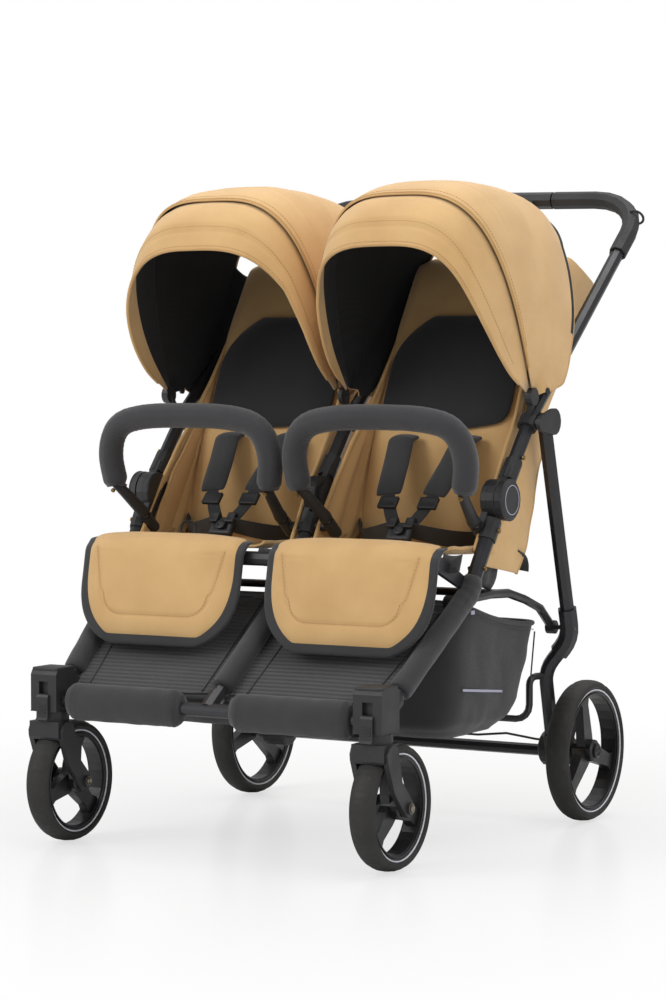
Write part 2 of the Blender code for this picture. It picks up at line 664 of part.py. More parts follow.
def wheel(word, side, kind, centre_x, axle, radius, tyre_width, tyre_depth, through):
    """A tyre with flat facets, one of them on the floor, and a three-spoke rim."""
    corner = radius / math.cos(math.pi / FACETS)
    half_turn = math.pi / FACETS
    ring_outer = (radius - tyre_depth) / math.cos(math.pi / FACETS)
    half = tyre_width / 2
    tyre = turned(
        kind + "_tyre_" + word,
        [
            (ring_outer, centre_x - half * 0.8), (corner - 0.009, centre_x - half),
            (corner, centre_x - half * 0.6), (corner, centre_x + half * 0.6),
            (corner - 0.009, centre_x + half), (ring_outer, centre_x + half * 0.8),
        ],
        axle, FACETS, tyre_rubber, closed=True, phase=half_turn,
    )
    rim_outer = ring_outer - GAP
    rim_inner = rim_outer - RIM_RING_DEPTH
    width = RIM_WIDTH / 2
    rim = turned(
        kind + "_rim_" + word,
        [
            (rim_inner, centre_x - width * 0.8), (rim_outer, centre_x - width),
            (rim_outer, centre_x + width), (rim_inner, centre_x + width * 0.8),
        ],
        axle, FACETS, black_plastic, closed=True, phase=half_turn,
    )
    spokes = []
    for count in range(SPOKE_COUNT):
        angle = math.radians(90) + side * math.radians(12) + 2 * math.pi * count / SPOKE_COUNT
        along = Vector((math.cos(angle), math.sin(angle)))
        across = Vector((-along.y, along.x))
        middle = Vector(axle)
        start = middle + along * 0.004
        end = middle + along * (rim_inner + 0.004)
        outline = [
            start - across * SPOKE_HUB_WIDTH / 2, start + along * 0.02 - across * SPOKE_HUB_WIDTH / 2,
            end - along * 0.02 - across * SPOKE_RIM_WIDTH / 2, end - across * (SPOKE_RIM_WIDTH / 2 + 0.008),
            end + across * (SPOKE_RIM_WIDTH / 2 + 0.008), end - along * 0.02 + across * SPOKE_RIM_WIDTH / 2,
            start + along * 0.02 + across * SPOKE_HUB_WIDTH / 2, start + across * SPOKE_HUB_WIDTH / 2,
        ]
        offset = 0.0001 * count
        spokes.append(guide_plate(
            [tuple(spot) for spot in outline],
            centre_x - SPOKE_THICKNESS / 2 - offset, centre_x + SPOKE_THICKNESS / 2 + offset,
        ))
    hub_half = width + 0.004 if not through else FORK_SLOT_HALF - 0.0012
    hub = guide_turned(
        [
            (0, centre_x - hub_half), (WHEEL_HUB_RADIUS - 0.003, centre_x - hub_half),
            (WHEEL_HUB_RADIUS, centre_x - hub_half + 0.003), (WHEEL_HUB_RADIUS, centre_x + hub_half - 0.003),
            (WHEEL_HUB_RADIUS - 0.003, centre_x + hub_half), (0, centre_x + hub_half),
        ],
        axle, 14,
    )
    join(rim, hub, *spokes)
    if through:
        bore_start, bore_end = centre_x - 0.05, centre_x + 0.05
    else:
        bore_start, bore_end = centre_x - side * 0.05, centre_x + side * REAR_BORE_END
    bore = guide_tube([Vector((bore_start, *axle)), Vector((bore_end, *axle))], BOLT_RADIUS + 2 * SLIDE_GAP)
    cut(rim, bore)
    hang(pivot(kind + "_wheel_" + word + "_spin", (centre_x, *axle)), tyre, rim)


for word, side in SIDES:
    wheel(
        word, side, "front", side * FRONT_WHEEL_X, front_axle, FRONT_WHEEL_RADIUS,
        FRONT_TYRE_WIDTH, FRONT_TYRE_DEPTH, True,
    )
    wheel(
        word, side, "rear", side * REAR_WHEEL_X, (REAR_AXLE_Y, REAR_WHEEL_RADIUS), REAR_WHEEL_RADIUS,
        REAR_TYRE_WIDTH, REAR_TYRE_DEPTH, False,
    )

# Handle: one tube from fold joint to fold joint, with its grips and the centre post
handle_corner = Vector((SIDE_X, HANDLE_Y, HANDLE_Z))
upper_start = UPPER_SLEEVE_END + GAP
half_path = rounded(
    [
        on_upper(SIDE_X, upper_start), Vector((SIDE_X, UPPER_BEND_Y, UPPER_BEND_Z)), handle_corner,
        Vector((0, HANDLE_Y, HANDLE_Z + 0.006)),
    ],
    HANDLE_CORNER_RADIUS, 6,
)
mirrored = [Vector((-spot.x, spot.y, spot.z)) for spot in reversed(half_path[:-1])]
tube("handlebar_tube", half_path + mirrored, UPPER_TUBE_RADIUS, frame_paint, sides=TUBE_SIDES)
corner_start = half_path[-8]
bar_start = half_path[-2]
bar_way = (half_path[-1] - bar_start).normalized()
down_way = (half_path[-9] - corner_start).normalized()
grip_low = corner_start + down_way * GRIP_START
grip_high = bar_start + bar_way * (bar_start.x - GRIP_END_X) / abs(bar_way.x)
grip_path = [grip_low, *half_path[-8:-1], grip_high]
bore_path = [grip_low + down_way * 0.02, *half_path[-8:-1], grip_high + bar_way * 0.02]
for word, side in SIDES:
    turn = Matrix.Scale(side, 3, (1, 0, 0))
    grip = tube("grip_" + word, [turn @ spot for spot in grip_path], GRIP_RADIUS, foam)
    cut(grip, guide_tube([turn @ spot for spot in bore_path], GRIP_BORE_RADIUS))

# Centre post, from the centre fold joint up to the Y-joint of the handle
POST_TOP_Y = 0.405
POST_TOP_Z = 1.012
YOKE_HALF = 0.157
YOKE_INNER = 0.052
YOKE_RADIUS = 0.0152
YOKE_BORE_RADIUS = 0.0125
YOKE_BRANCH_RADIUS = 0.0125
YOKE_BRANCH_X = 0.120
post_way = (Vector((POST_TOP_Y, POST_TOP_Z)) - Vector((UPPER_BEND_Y, UPPER_BEND_Z))).normalized()
post_top = Vector((0, POST_TOP_Y, POST_TOP_Z))
post_end = post_top - Vector((0, post_way.x, post_way.y)) * (YOKE_BRANCH_RADIUS + 0.006)
tube(
    "centre_post",
    rounded([on_upper(0, upper_start), Vector((0, UPPER_BEND_Y, UPPER_BEND_Z)), post_end], BEND_RADIUS),
    CENTRE_TUBE_RADIUS, frame_paint,
)


def bar_point(x):
    rise = half_path[-1].z - bar_start.z
    lean = half_path[-1].y - bar_start.y
    share = (bar_start.x - abs(x)) / bar_start.x
    return Vector((x, bar_start.y + lean * share, bar_start.z + rise * share))


yoke_bar = [bar_point(-YOKE_HALF), bar_point(-YOKE_INNER), bar_point(0), bar_point(YOKE_INNER), bar_point(YOKE_HALF)]
yoke = tube("handle_centre_joint", yoke_bar, YOKE_RADIUS, black_plastic)
bar_low = Vector((0, -0.006, -0.008))
branch = rounded(
    [
        bar_point(-YOKE_BRANCH_X) + bar_low, Vector((-0.055, POST_TOP_Y + 0.012, POST_TOP_Z + 0.010)), post_top,
        Vector((0.055, POST_TOP_Y + 0.012, POST_TOP_Z + 0.010)), bar_point(YOKE_BRANCH_X) + bar_low,
    ],
    0.06,
)
socket_end = post_end + (post_top - post_end).normalized() * GAP
join(
    yoke, guide_tube(branch, YOKE_BRANCH_RADIUS),
    guide_tube([socket_end, post_top + Vector((0, 0.004, 0.004))], CENTRE_TUBE_RADIUS + 0.002),
)
yoke_ends = [bar_point(-YOKE_HALF - 0.02), *yoke_bar[1:-1], bar_point(YOKE_HALF + 0.02)]
cut(yoke, guide_tube(yoke_ends, YOKE_BORE_RADIUS))

# Upper joints: a collar on the tube, the leaf cover with the rear leg's pin, and the canopy hub
leg_pivot = Vector((LEG_PIVOT_Y, LEG_PIVOT_Z))
collar_spot = hinge + upper_way * COLLAR_AT
hub_spot = Vector((HUB_Y, HUB_Z))
leaf_inner = LEG_PIVOT_X + REAR_TUBE_RADIUS + SLIDE_GAP
for word, side in SIDES:
    collar = tube(
        "upper_joint_" + word,
        [on_upper(side * SIDE_X, COLLAR_AT - COLLAR_HALF), on_upper(side * SIDE_X, COLLAR_AT + COLLAR_HALF)],
        COLLAR_RADIUS, black_plastic, sides=4,
    )
    inner = side * leaf_inner
    leaf = guide_plate(
        capsule(leg_pivot, LEAF_RADIUS, collar_spot, LEAF_TIP_RADIUS), inner, inner + side * LEAF_THICKNESS,
    )
    leaf_boss = guide_tube(
        [
            Vector((side * SIDE_X, *collar_spot)), Vector((inner + side * LEAF_THICKNESS / 2, *collar_spot)),
        ],
        COLLAR_HALF * 0.8,
    )
    pin = guide_tube(
        [
            Vector((inner + side * LEAF_THICKNESS / 2, *leg_pivot)),
            Vector((side * (LEG_PIVOT_X - REAR_TUBE_RADIUS - 0.001), *leg_pivot)),
        ],
        PIVOT_PIN_RADIUS,
    )
    hub_post = guide_tube(
        [Vector((side * SIDE_X, *(collar_spot + upper_way * 0.002))), Vector((side * HUB_X, *hub_spot))], HUB_POST_RADIUS,
    )
    knob = guide_turned(
        [
            (0, side * HUB_X - HUB_KNOB_HALF), (HUB_KNOB_RADIUS, side * HUB_X - HUB_KNOB_HALF),
            (HUB_KNOB_RADIUS, side * HUB_X + HUB_KNOB_HALF), (0, side * HUB_X + HUB_KNOB_HALF),
        ],
        hub_spot, 14,
    )
    join(collar, leaf, leaf_boss, pin, hub_post, knob)
    bore_ends = [
        on_upper(side * SIDE_X, COLLAR_AT - COLLAR_HALF - 0.02), on_upper(side * SIDE_X, COLLAR_AT + COLLAR_HALF + 0.03),
    ]
    cut(collar, guide_tube(bore_ends, UPPER_TUBE_RADIUS + 0.0008, 4))
centre_hub = tube(
    "canopy_hub_centre",
    [on_upper(0, COLLAR_AT - COLLAR_HALF), on_upper(0, COLLAR_AT + COLLAR_HALF)], COLLAR_RADIUS, black_plastic, sides=4,
)
CENTRE_KNOB_HALF = 0.0035
join(
    centre_hub,
    guide_tube([Vector((0, *(collar_spot + upper_way * 0.002))), Vector((0, *hub_spot))], HUB_POST_RADIUS),
    guide_turned(
        [
            (0, -CENTRE_KNOB_HALF), (HUB_KNOB_RADIUS, -CENTRE_KNOB_HALF),
            (HUB_KNOB_RADIUS, CENTRE_KNOB_HALF), (0, CENTRE_KNOB_HALF),
        ],
        hub_spot, 14,
    ),
)
centre_bore = [on_upper(0, COLLAR_AT - COLLAR_HALF - 0.02), on_upper(0, COLLAR_AT + COLLAR_HALF + 0.03)]
cut(centre_hub, guide_tube(centre_bore, CENTRE_TUBE_RADIUS + 0.0008, 4))

# Rear frame
axle_spot = (REAR_AXLE_Y, REAR_WHEEL_RADIUS)
heel = Vector((HEEL_X, HEEL_Y, HEEL_Z))
ankle = Vector((ANKLE_X, ANKLE_Y, ANKLE_Z))
hub_middle = Vector(((REAR_HUB_INNER + REAR_HUB_OUTER) / 2, *axle_spot))
for word, side in SIDES:
    turn = Matrix.Scale(side, 3, (1, 0, 0))
    path = rounded(
        [
            Vector((LEG_PIVOT_X, LEG_PIVOT_Y, LEG_PIVOT_Z)), Vector((KINK_X, KINK_Y, KINK_Z)), ankle, heel,
        ],
        0.06,
    )
    leg = tube("rear_leg_" + word, [turn @ spot for spot in path], REAR_TUBE_RADIUS, frame_paint)
    eye_half = REAR_TUBE_RADIUS - 0.0003
    eye = guide_turned(
        [
            (0, side * LEG_PIVOT_X - eye_half), (EYE_RADIUS, side * LEG_PIVOT_X - eye_half),
            (EYE_RADIUS, side * LEG_PIVOT_X + eye_half), (0, side * LEG_PIVOT_X + eye_half),
        ],
        leg_pivot, 14,
    )
    cover_path = [path[1].lerp(path[0], 0.08), *path[1:6], path[5].lerp(path[6], 0.4)]
    cover = guide_tube([turn @ spot for spot in cover_path], KINK_COVER_RADIUS)
    link_pin = guide_tube(
        [
            Vector((side * (LINK_X + LINK_RADIUS + SLIDE_GAP), LINK_BACK_Y, LINK_BACK_Z)),
            Vector((side * KINK_X, LINK_BACK_Y, LINK_BACK_Z)),
        ],
        PIVOT_PIN_RADIUS,
    )
    join(leg, eye, cover, link_pin)
    bore = [
        Vector((side * (LEG_PIVOT_X - 0.03), *leg_pivot)), Vector((side * (LEG_PIVOT_X + 0.03), *leg_pivot)),
    ]
    cut(leg, guide_tube(bore, PIVOT_PIN_RADIUS + SLIDE_GAP))

    rear_hub = turned(
        "rear_hub_" + word,
        [
            (0, side * REAR_HUB_INNER), (REAR_HUB_RADIUS - 0.003, side * REAR_HUB_INNER),
            (REAR_HUB_RADIUS, side * (REAR_HUB_INNER + 0.003)), (REAR_HUB_RADIUS, side * (REAR_HUB_OUTER - 0.003)),
            (REAR_HUB_RADIUS - 0.003, side * REAR_HUB_OUTER), (BOLT_RADIUS, side * REAR_HUB_OUTER),
            (BOLT_RADIUS, side * (REAR_WHEEL_X + REAR_BORE_END - 0.001)), (0, side * (REAR_WHEEL_X + REAR_BORE_END - 0.001)),
        ],
        axle_spot, 16, black_plastic,
    )
    heel_way = (heel - path[-2]).normalized()
    heel_boss = guide_tube([turn @ (heel + heel_way * GAP), turn @ (heel + heel_way * 0.030)], KINK_COVER_RADIUS - 0.001)
    ears = []
    for low, high in ((PEDAL_INNER - GAP - PEDAL_EAR, PEDAL_INNER - GAP), (PEDAL_OUTER + GAP, PEDAL_OUTER + GAP + PEDAL_EAR)):
        if side > 0:
            ears.append(guide_plate(capsule(axle_spot, 0.020, (PEDAL_AXIS_Y, PEDAL_AXIS_Z), 0.008), low, high))
    if side > 0:
        ears.append(guide_tube(
            [
                Vector((PEDAL_INNER - 0.003, PEDAL_AXIS_Y, PEDAL_AXIS_Z)),
                Vector((PEDAL_OUTER + 0.003, PEDAL_AXIS_Y, PEDAL_AXIS_Z)),
            ],
            PEDAL_PIN_RADIUS,
        ))
    join(rear_hub, heel_boss, *ears)
axle_end = REAR_HUB_INNER - GAP
axle_low = REAR_WHEEL_RADIUS - AXLE_TUBE_DROP
tube(
    "rear_axle_tube",
    [Vector((-axle_end, REAR_AXLE_Y, axle_low)), Vector((axle_end, REAR_AXLE_Y, axle_low))], AXLE_TUBE_RADIUS, frame_paint,
)
pedal = plate(
    "brake_pedal",
    capsule((PEDAL_AXIS_Y, PEDAL_AXIS_Z), 0.0078, (PEDAL_TIP_Y, PEDAL_TIP_Z), 0.0055),
    PEDAL_INNER, PEDAL_OUTER, black_plastic,
)
pedal_bore = [
    Vector((PEDAL_INNER - 0.01, PEDAL_AXIS_Y, PEDAL_AXIS_Z)), Vector((PEDAL_OUTER + 0.01, PEDAL_AXIS_Y, PEDAL_AXIS_Z)),
]
cut(pedal, guide_tube(pedal_bore, PEDAL_PIN_RADIUS + SLIDE_GAP))
hang(pivot("brake_pedal_hinge", (PEDAL_INNER, PEDAL_AXIS_Y, PEDAL_AXIS_Z)), pedal)

# Basket support tube between the rear legs
support_start = ANKLE_Y - REAR_TUBE_RADIUS + 0.0032
support_half = rounded(
    [
        Vector((ANKLE_X - 0.0008, support_start, BASKET_TUBE_HIGH)), Vector((BASKET_TUBE_X, BASKET_TUBE_Y, BASKET_TUBE_HIGH)),
        Vector((BASKET_TUBE_X, BASKET_TUBE_Y, BASKET_TUBE_LOW)), Vector((0, BASKET_TUBE_Y, BASKET_TUBE_LOW)),
    ],
    0.025,
)
support_far = [Vector((-spot.x, spot.y, spot.z)) for spot in reversed(support_half[:-1])]
tube("basket_support_tube", support_half + support_far, BASKET_TUBE_RADIUS, frame_paint)

# Brake cable between the two hubs
CABLE_Y = REAR_AXLE_Y - 0.017
CABLE_Z = REAR_WHEEL_RADIUS + 0.016
cable_half = [
    Vector((axle_end, REAR_AXLE_Y - 0.008, REAR_WHEEL_RADIUS + 0.014)),
    Vector((axle_end - 0.012, REAR_AXLE_Y - 0.0085, REAR_WHEEL_RADIUS + 0.0142)),
    Vector((axle_end - 0.035, REAR_AXLE_Y - 0.014, REAR_WHEEL_RADIUS + 0.018)),
    Vector((axle_end - 0.065, CABLE_Y, CABLE_Z + 0.006)), Vector((axle_end - 0.120, CABLE_Y, CABLE_Z)),
]
cable_far = [Vector((-spot.x, spot.y, spot.z)) for spot in reversed(cable_half)]
tube("brake_cable", cable_half + cable_far, CABLE_RADIUS, black_plastic, sides=2)

# Seat links with their cross tube
link_path = [
    Vector((LINK_X, LINK_FRONT_Y, LINK_FRONT_Z)), Vector((LINK_X, -0.06, 0.4045)), Vector((LINK_X, 0.0, 0.402)),
    Vector((LINK_X, 0.060, 0.388)), Vector((LINK_X, 0.115, 0.370)), Vector((LINK_X, LINK_BACK_Y, LINK_BACK_Z)),
]
frame = tube("seat_link_frame", link_path, LINK_RADIUS, frame_paint)
far = guide_tube([Vector((-spot.x, spot.y, spot.z)) for spot in link_path], LINK_RADIUS)
cross = guide_tube(
    [Vector((-LINK_X, CROSS_TUBE_Y, 0.4035)), Vector((LINK_X, CROSS_TUBE_Y, 0.4035))], LINK_RADIUS - 0.0008,
)
eyes = []
bores = []
for x in (-LINK_X, LINK_X):
    for spot in ((LINK_FRONT_Y, LINK_FRONT_Z), (LINK_BACK_Y, LINK_BACK_Z)):
        eyes.append(guide_turned(
            [
                (0, x - LINK_RADIUS), (LINK_EYE_RADIUS, x - LINK_RADIUS),
                (LINK_EYE_RADIUS, x + LINK_RADIUS), (0, x + LINK_RADIUS),
            ],
            spot, 12,
        ))
    front = (LINK_FRONT_Y, LINK_FRONT_Z)
    bores.append(guide_tube([Vector((x - 0.03, *front)), Vector((x + 0.03, *front))], PIVOT_PIN_RADIUS + SLIDE_GAP))
join(frame, far, cross, *eyes)
cut(frame, *bores)
hang(pivot("seat_link_hinge", (0, LINK_FRONT_Y, LINK_FRONT_Z)), frame)

# Soft goods and their sizes
SEAT_CENTRE_X = 0.171
CLOTH = 0.0024
WALL_OUTER_X = 0.3150
WALL_INNER_X = 0.0275
BACK_HALF = 0.1405
BACK_EDGE = 0.010
INSERT_HALF = 0.118
INSERT_DEPTH = 0.018
LEGREST_X = 0.178
LEGREST_HALF = 0.155
LEGREST_DEPTH = 0.0125
CANOPY_X = 0.178
CANOPY_HALF = 0.1772
VISOR_HALF = 0.1695
CANOPY_CLOTH = 0.0015
CANOPY_MIDDLE_GAP = 0.0035
CANOPY_REACH = 0.355
CANOPY_TUCK = 0.010
CANOPY_FRONT = 128
CANOPY_JOIN = 112
CANOPY_REAR = 54
PANEL_CLEARANCE = 0.019
PANEL_HALF = FRONT_WHEEL_X - HOUSING_HALF_WIDTH - PANEL_CLEARANCE
PANEL_THICKNESS = 0.004
PANEL_CUTOUT = 0.045
BASKET_HALF = LINK_X - LINK_RADIUS - 0.0007
BASKET_CLOTH = 0.0030


def along(path, share):
    """A point on a path whose stretches take equal shares."""
    place = share * (len(path) - 1)
    index = min(int(place), len(path) - 2)
    start = Vector(path[index])
    return start.lerp(Vector(path[index + 1]), place - index)


def across(path, share):
    step = 0.02
    low = along(path, max(0.0, share - step))
    high = along(path, min(1.0, share + step))
    way = (high - low).normalized()
    return Vector((-way.y, way.x))


def cloth(name, columns, rows, place, material):
    """A closed sheet: a grid and its copy, both bent to their places."""
    work = bmesh.new()
    bmesh.ops.create_grid(work, x_segments=columns, y_segments=rows, size=0.5)
    extruded = bmesh.ops.extrude_face_region(work, geom=work.faces[:])
    top = {item for item in extruded["geom"] if isinstance(item, bmesh.types.BMVert)}
    for vert in work.verts:
        layer = 1 if vert in top else -1
        vert.co = place(vert.co.x + 0.5, vert.co.y + 0.5, layer)
    bmesh.ops.recalc_face_normals(work, faces=work.faces)
    mesh = bpy.data.meshes.new(name)
    work.to_mesh(mesh)
    work.free()
    item = bpy.data.objects.new(name + "_form", mesh)
    parts.objects.link(item)
    return settle(item, name, material)


# Bumper bars: foam bar, two arms and the pins that stand in the sockets
for word, side in SIDES:
    middle = side * SEAT_X
    rise = BUMPER_TOP_Z - BUMPER_END_Z
    foam_path = [
        Vector((middle - BUMPER_END_HALF, BUMPER_END_Y, BUMPER_END_Z)),
        Vector((middle - BUMPER_END_HALF - 0.008, BUMPER_TOP_Y + 0.004, BUMPER_TOP_Z - 0.010)),
        Vector((middle, BUMPER_TOP_Y, BUMPER_TOP_Z)),
        Vector((middle + BUMPER_END_HALF + 0.008, BUMPER_TOP_Y + 0.004, BUMPER_TOP_Z - 0.010)),
        Vector((middle + BUMPER_END_HALF, BUMPER_END_Y, BUMPER_END_Z)),
    ]
    bumper = tube("bumper_bar_" + word, rounded(foam_path, BUMPER_CORNER, 5), BUMPER_RADIUS, black_cloth)
    pieces = []
    for turn in (-1, 1):
        arm_x = middle + turn * BUMPER_ARM_HALF
        end_x = middle + turn * BUMPER_END_HALF
        arm_low = on_bumper(arm_x, SOCKET_HALF_LENGTH + 0.003)
        arm_high = Vector((end_x, BUMPER_END_Y, BUMPER_END_Z)) + (on_bumper(0, 0.012) - on_bumper(0, 0))
        pieces.append(guide_tube([arm_low, arm_high], BUMPER_ARM_RADIUS))
        pieces.append(guide_tube([on_bumper(arm_x, 0.002 - SOCKET_HALF_LENGTH), on_bumper(arm_x, 0.030)], BUMPER_PIN_RADIUS))
    join(bumper, *pieces)
    hang(pivot("bumper_bar_" + word + "_slide", on_bumper(middle, 0)), bumper)

# Legrests hang over the seat front tube and swing up about it
legrest_line = [
    (SEAT_TUBE_Y + 0.006, SEAT_TUBE_Z + 0.0255), (SEAT_TUBE_Y - 0.010, SEAT_TUBE_Z + 0.024),
    (SEAT_TUBE_Y - 0.026, SEAT_TUBE_Z + 0.009), (SEAT_TUBE_Y - 0.034, SEAT_TUBE_Z - 0.033),
    (SEAT_TUBE_Y - 0.048, SEAT_TUBE_Z - 0.093), (SEAT_TUBE_Y - 0.0645, SEAT_TUBE_Z - 0.145),
]


def legrest_place(side):
    def place(u, v, layer):
        spot = along(legrest_line, v)
        normal = across(legrest_line, v)
        late = max(0.0, (v - 0.62) / 0.38)
        half = LEGREST_HALF * math.sqrt(1 - (0.88 * late) ** 2)
        span = 2 * u - 1
        crown = (1 - abs(span) ** 6) * (1 - late ** 5)
        depth = (0.45 + 0.55 * crown) * LEGREST_DEPTH * min(1.0, 0.62 + 1.6 * v)
        seam = abs(max(abs(span) / 0.78, (v - 0.30) / 0.46) - 1)
        if layer < 0 and v > 0.25 and seam < 0.10:
            depth -= 0.0022
        shift = normal * depth * layer
        return Vector((side * LEGREST_X + half * span, spot.x + shift.x, spot.y + shift.y))
    return place


for word, side in SIDES:
    legrest = cloth("legrest_" + word, 10, 10, legrest_place(side), tan_cloth)
    hang(pivot("legrest_" + word + "_hinge", (side * LEGREST_X, SEAT_TUBE_Y, SEAT_TUBE_Z)), legrest)

# Seat slings: the seat bottom and its side walls
sling_bottom = [
    (SEAT_TUBE_Y + 0.038, 0.4790), (-0.170, 0.4765), (-0.110, 0.4745), (-0.065, 0.4730), (-0.036, 0.4700),
]
sling_edge = [
    (SEAT_TUBE_Y + 0.038, 0.4860), (-0.150, 0.4840), (-0.088, 0.4910), (-0.045, 0.5560), (0.038, 0.6850),
]
CORNER_BEND = 0.020


def sling_place(side):
    def place(u, v, layer):
        low = along(sling_bottom, v)
        high = along(sling_edge, v)
        span = 2 * u - 1
        wall = 0.5
        half = (WALL_OUTER_X - WALL_INNER_X) / 2
        middle = (WALL_OUTER_X + WALL_INNER_X) / 2
        offset = CLOTH * layer
        if abs(span) < wall:
            share = abs(span) / wall
            sag = 0.003 * (1 - share ** 2)
            x = share * (half - CORNER_BEND) * (1 if span >= 0 else -1)
            return Vector((side * (middle + x), low.x, low.y - sag - offset))
        share = (abs(span) - wall) / (1 - wall)
        bend = min(1.0, share / 0.4) * math.pi / 2
        reach = half - CORNER_BEND + CORNER_BEND * math.sin(bend)
        lift = CORNER_BEND * (1 - math.cos(bend))
        height = (high - low).length
        lift = min(lift, height * min(1.0, share / 0.4))
        rest = max(0.0, (share - 0.4) / 0.6)
        climb = lift / max(height, 1e-6)
        spot = low.lerp(high, climb + (1 - climb) * rest)
        x = (reach + offset * math.sin(bend)) * (1 if span >= 0 else -1)
        return Vector((side * (middle + x), spot.x, spot.y - offset * math.cos(bend)))
    return place


for word, side in SIDES:
    cloth("seat_sling_" + word, 14, 4, sling_place(side), tan_cloth)

# Backrests with head insert and harness
back_front = [(-0.026, 0.494), (0.020, 0.660), (0.060, 0.750), (0.100, 0.840), (0.170, 0.950), (0.222, 0.962)]
back_rear = [(-0.016, 0.471), (0.071, 0.552), (0.150, 0.668), (0.225, 0.752), (0.318, 0.855), (0.350, 0.905)]
RECLINE_Y = -0.020
RECLINE_Z = 0.465


def back_place(side):
    def place(u, v, layer):
        front = along(back_front, v)
        rear = along(back_rear, v)
        span = 2 * u - 1
        edge = max(0.0, (abs(span) - 0.88) / 0.12)
        spot = front if layer < 0 else rear
        toward = (rear - front).normalized()
        if layer > 0:
            toward = -toward
        pull = BACK_EDGE * edge ** 2
        if layer > 0:
            pull += 0.012 * abs(span) ** 2
        spot = spot + toward * min(pull, (rear - front).length * 0.3)
        return Vector((side * (SEAT_CENTRE_X + BACK_HALF * span), spot.x, spot.y))
    return place


insert_line = [(0.0267, 0.675), (0.060, 0.750), (0.100, 0.840), (0.1450, 0.9107)]


def insert_place(side):
    def place(u, v, layer):
        spot = along(insert_line, v)
        normal = across(insert_line, v)
        span = 2 * u - 1
        rise = 2 * v - 1
        half = INSERT_HALF * (1 - 0.22 * abs(rise) ** 4)
        crown = (1 - abs(span) ** 4) * (1 - abs(rise) ** 6)
        depth = SLIDE_GAP + (0.005 + (INSERT_DEPTH - 0.005) * crown if layer > 0 else 0.0)
        if layer > 0 and abs(abs(span) - 0.42) < 0.05:
            depth -= 0.004 * crown
        shift = normal * depth
        return Vector((side * (SEAT_CENTRE_X + half * span), spot.x + shift.x, spot.y + shift.y))
    return place


for word, side in SIDES:
    back = cloth("backrest_" + word, 8, 5, back_place(side), tan_cloth)
    insert = cloth("head_insert_" + word, 12, 6, insert_place(side), black_cloth)
    centre = side * SEAT_CENTRE_X
    pad_pieces = []
    for turn in (-1, 1):
        pad_pieces.append([
            Vector((centre + turn * 0.060, 0.0128, 0.655)), Vector((centre + turn * 0.060, -0.010, 0.650)),
            Vector((centre + turn * 0.050, -0.085, 0.562)),
        ])
    harness = tube("harness_" + word, pad_pieces[0], 0.011, black_cloth)
    buckle = Vector((centre, -0.112, 0.512))
    straps = [guide_tube(pad_pieces[1], 0.011)]
    for turn in (-1, 1):
        straps.append(guide_tube([Vector((centre + turn * 0.050, -0.082, 0.567)), buckle + Vector((turn * 0.010, 0, 0))], 0.005))
    straps.append(guide_tube([buckle + Vector((0, 0.010, 0.012)), buckle + Vector((0, -0.008, -0.012))], 0.019, 4))
    straps.append(guide_tube([buckle, Vector((centre, -0.128, 0.4810))], 0.006))
    join(harness, *straps)
    hang(pivot("backrest_" + word + "_recline", (centre, RECLINE_Y, RECLINE_Z)), back, insert, harness)

# Canopies about their hubs: angles in degrees from the rear, distances from the hub axis
rib_line = [
    (CANOPY_REAR, 0.372), (62, 0.375), (74, 0.360), (86, 0.3525), (98, 0.3525), (CANOPY_JOIN, CANOPY_REACH),
]
visor_line = [(CANOPY_JOIN, CANOPY_REACH - CANOPY_TUCK), (CANOPY_FRONT, 0.308)]
side_line = [(0.0, 10.0), (0.109, 10.0), (0.163, 28.5), (0.236, 43.0), (0.300, CANOPY_REAR)]


def read_line(line, value):
    if value <= line[0][0]:
        return line[0][1]
    for (low, first), (high, second) in zip(line, line[1:]):
        if value <= high:
            return first + (second - first) * (value - low) / (high - low)
    return line[-1][1]


def canopy_place(side, half_width, start, end, wide):
    def place(u, v, layer):
        first = 0.020
        sweep = first + (math.pi - 2 * first) * u
        outward = math.cos(sweep)
        power = 2 / 2.5
        near = start
        if wide and outward > 0:
            reach = 0.372 * math.sin(sweep) ** (2 / 3.2)
            near = read_line(side_line, reach)
        angle = near + (end - near) * v
        if wide and outward > 0:
            blend = min(1.0, max(0.0, (angle - 60) / 30))
            power = (2 / 3.6) * (1 - blend) + power * blend
        rib = read_line(rib_line if wide else visor_line, angle) + CANOPY_CLOTH * layer
        if wide:
            rib += 0.003 * math.sin(math.radians((angle - start) * 9)) * math.sin(sweep)
        reach = rib * math.sin(sweep) ** power
        reach = max(reach, HUB_KNOB_RADIUS + 0.0007)
        width = half_width if outward > 0 else half_width - CANOPY_MIDDLE_GAP
        x = (width + CANOPY_CLOTH * layer) * math.copysign(abs(outward) ** power, outward)
        turn = math.radians(180 - angle)
        return Vector((side * (CANOPY_X + x), HUB_Y - math.cos(turn) * reach, HUB_Z + math.sin(turn) * reach))
    return place


for word, side in SIDES:
    cloth("canopy_hood_" + word, 18, 7, canopy_place(side, CANOPY_HALF, CANOPY_REAR, CANOPY_JOIN, True), tan_cloth)
    visor = cloth(
        "canopy_visor_" + word, 18, 2, canopy_place(side, VISOR_HALF, CANOPY_JOIN + 0.5, CANOPY_FRONT, False), tan_cloth,
    )
    hang(pivot("canopy_visor_" + word + "_hinge", (side * HUB_X, HUB_Y, HUB_Z)), visor)

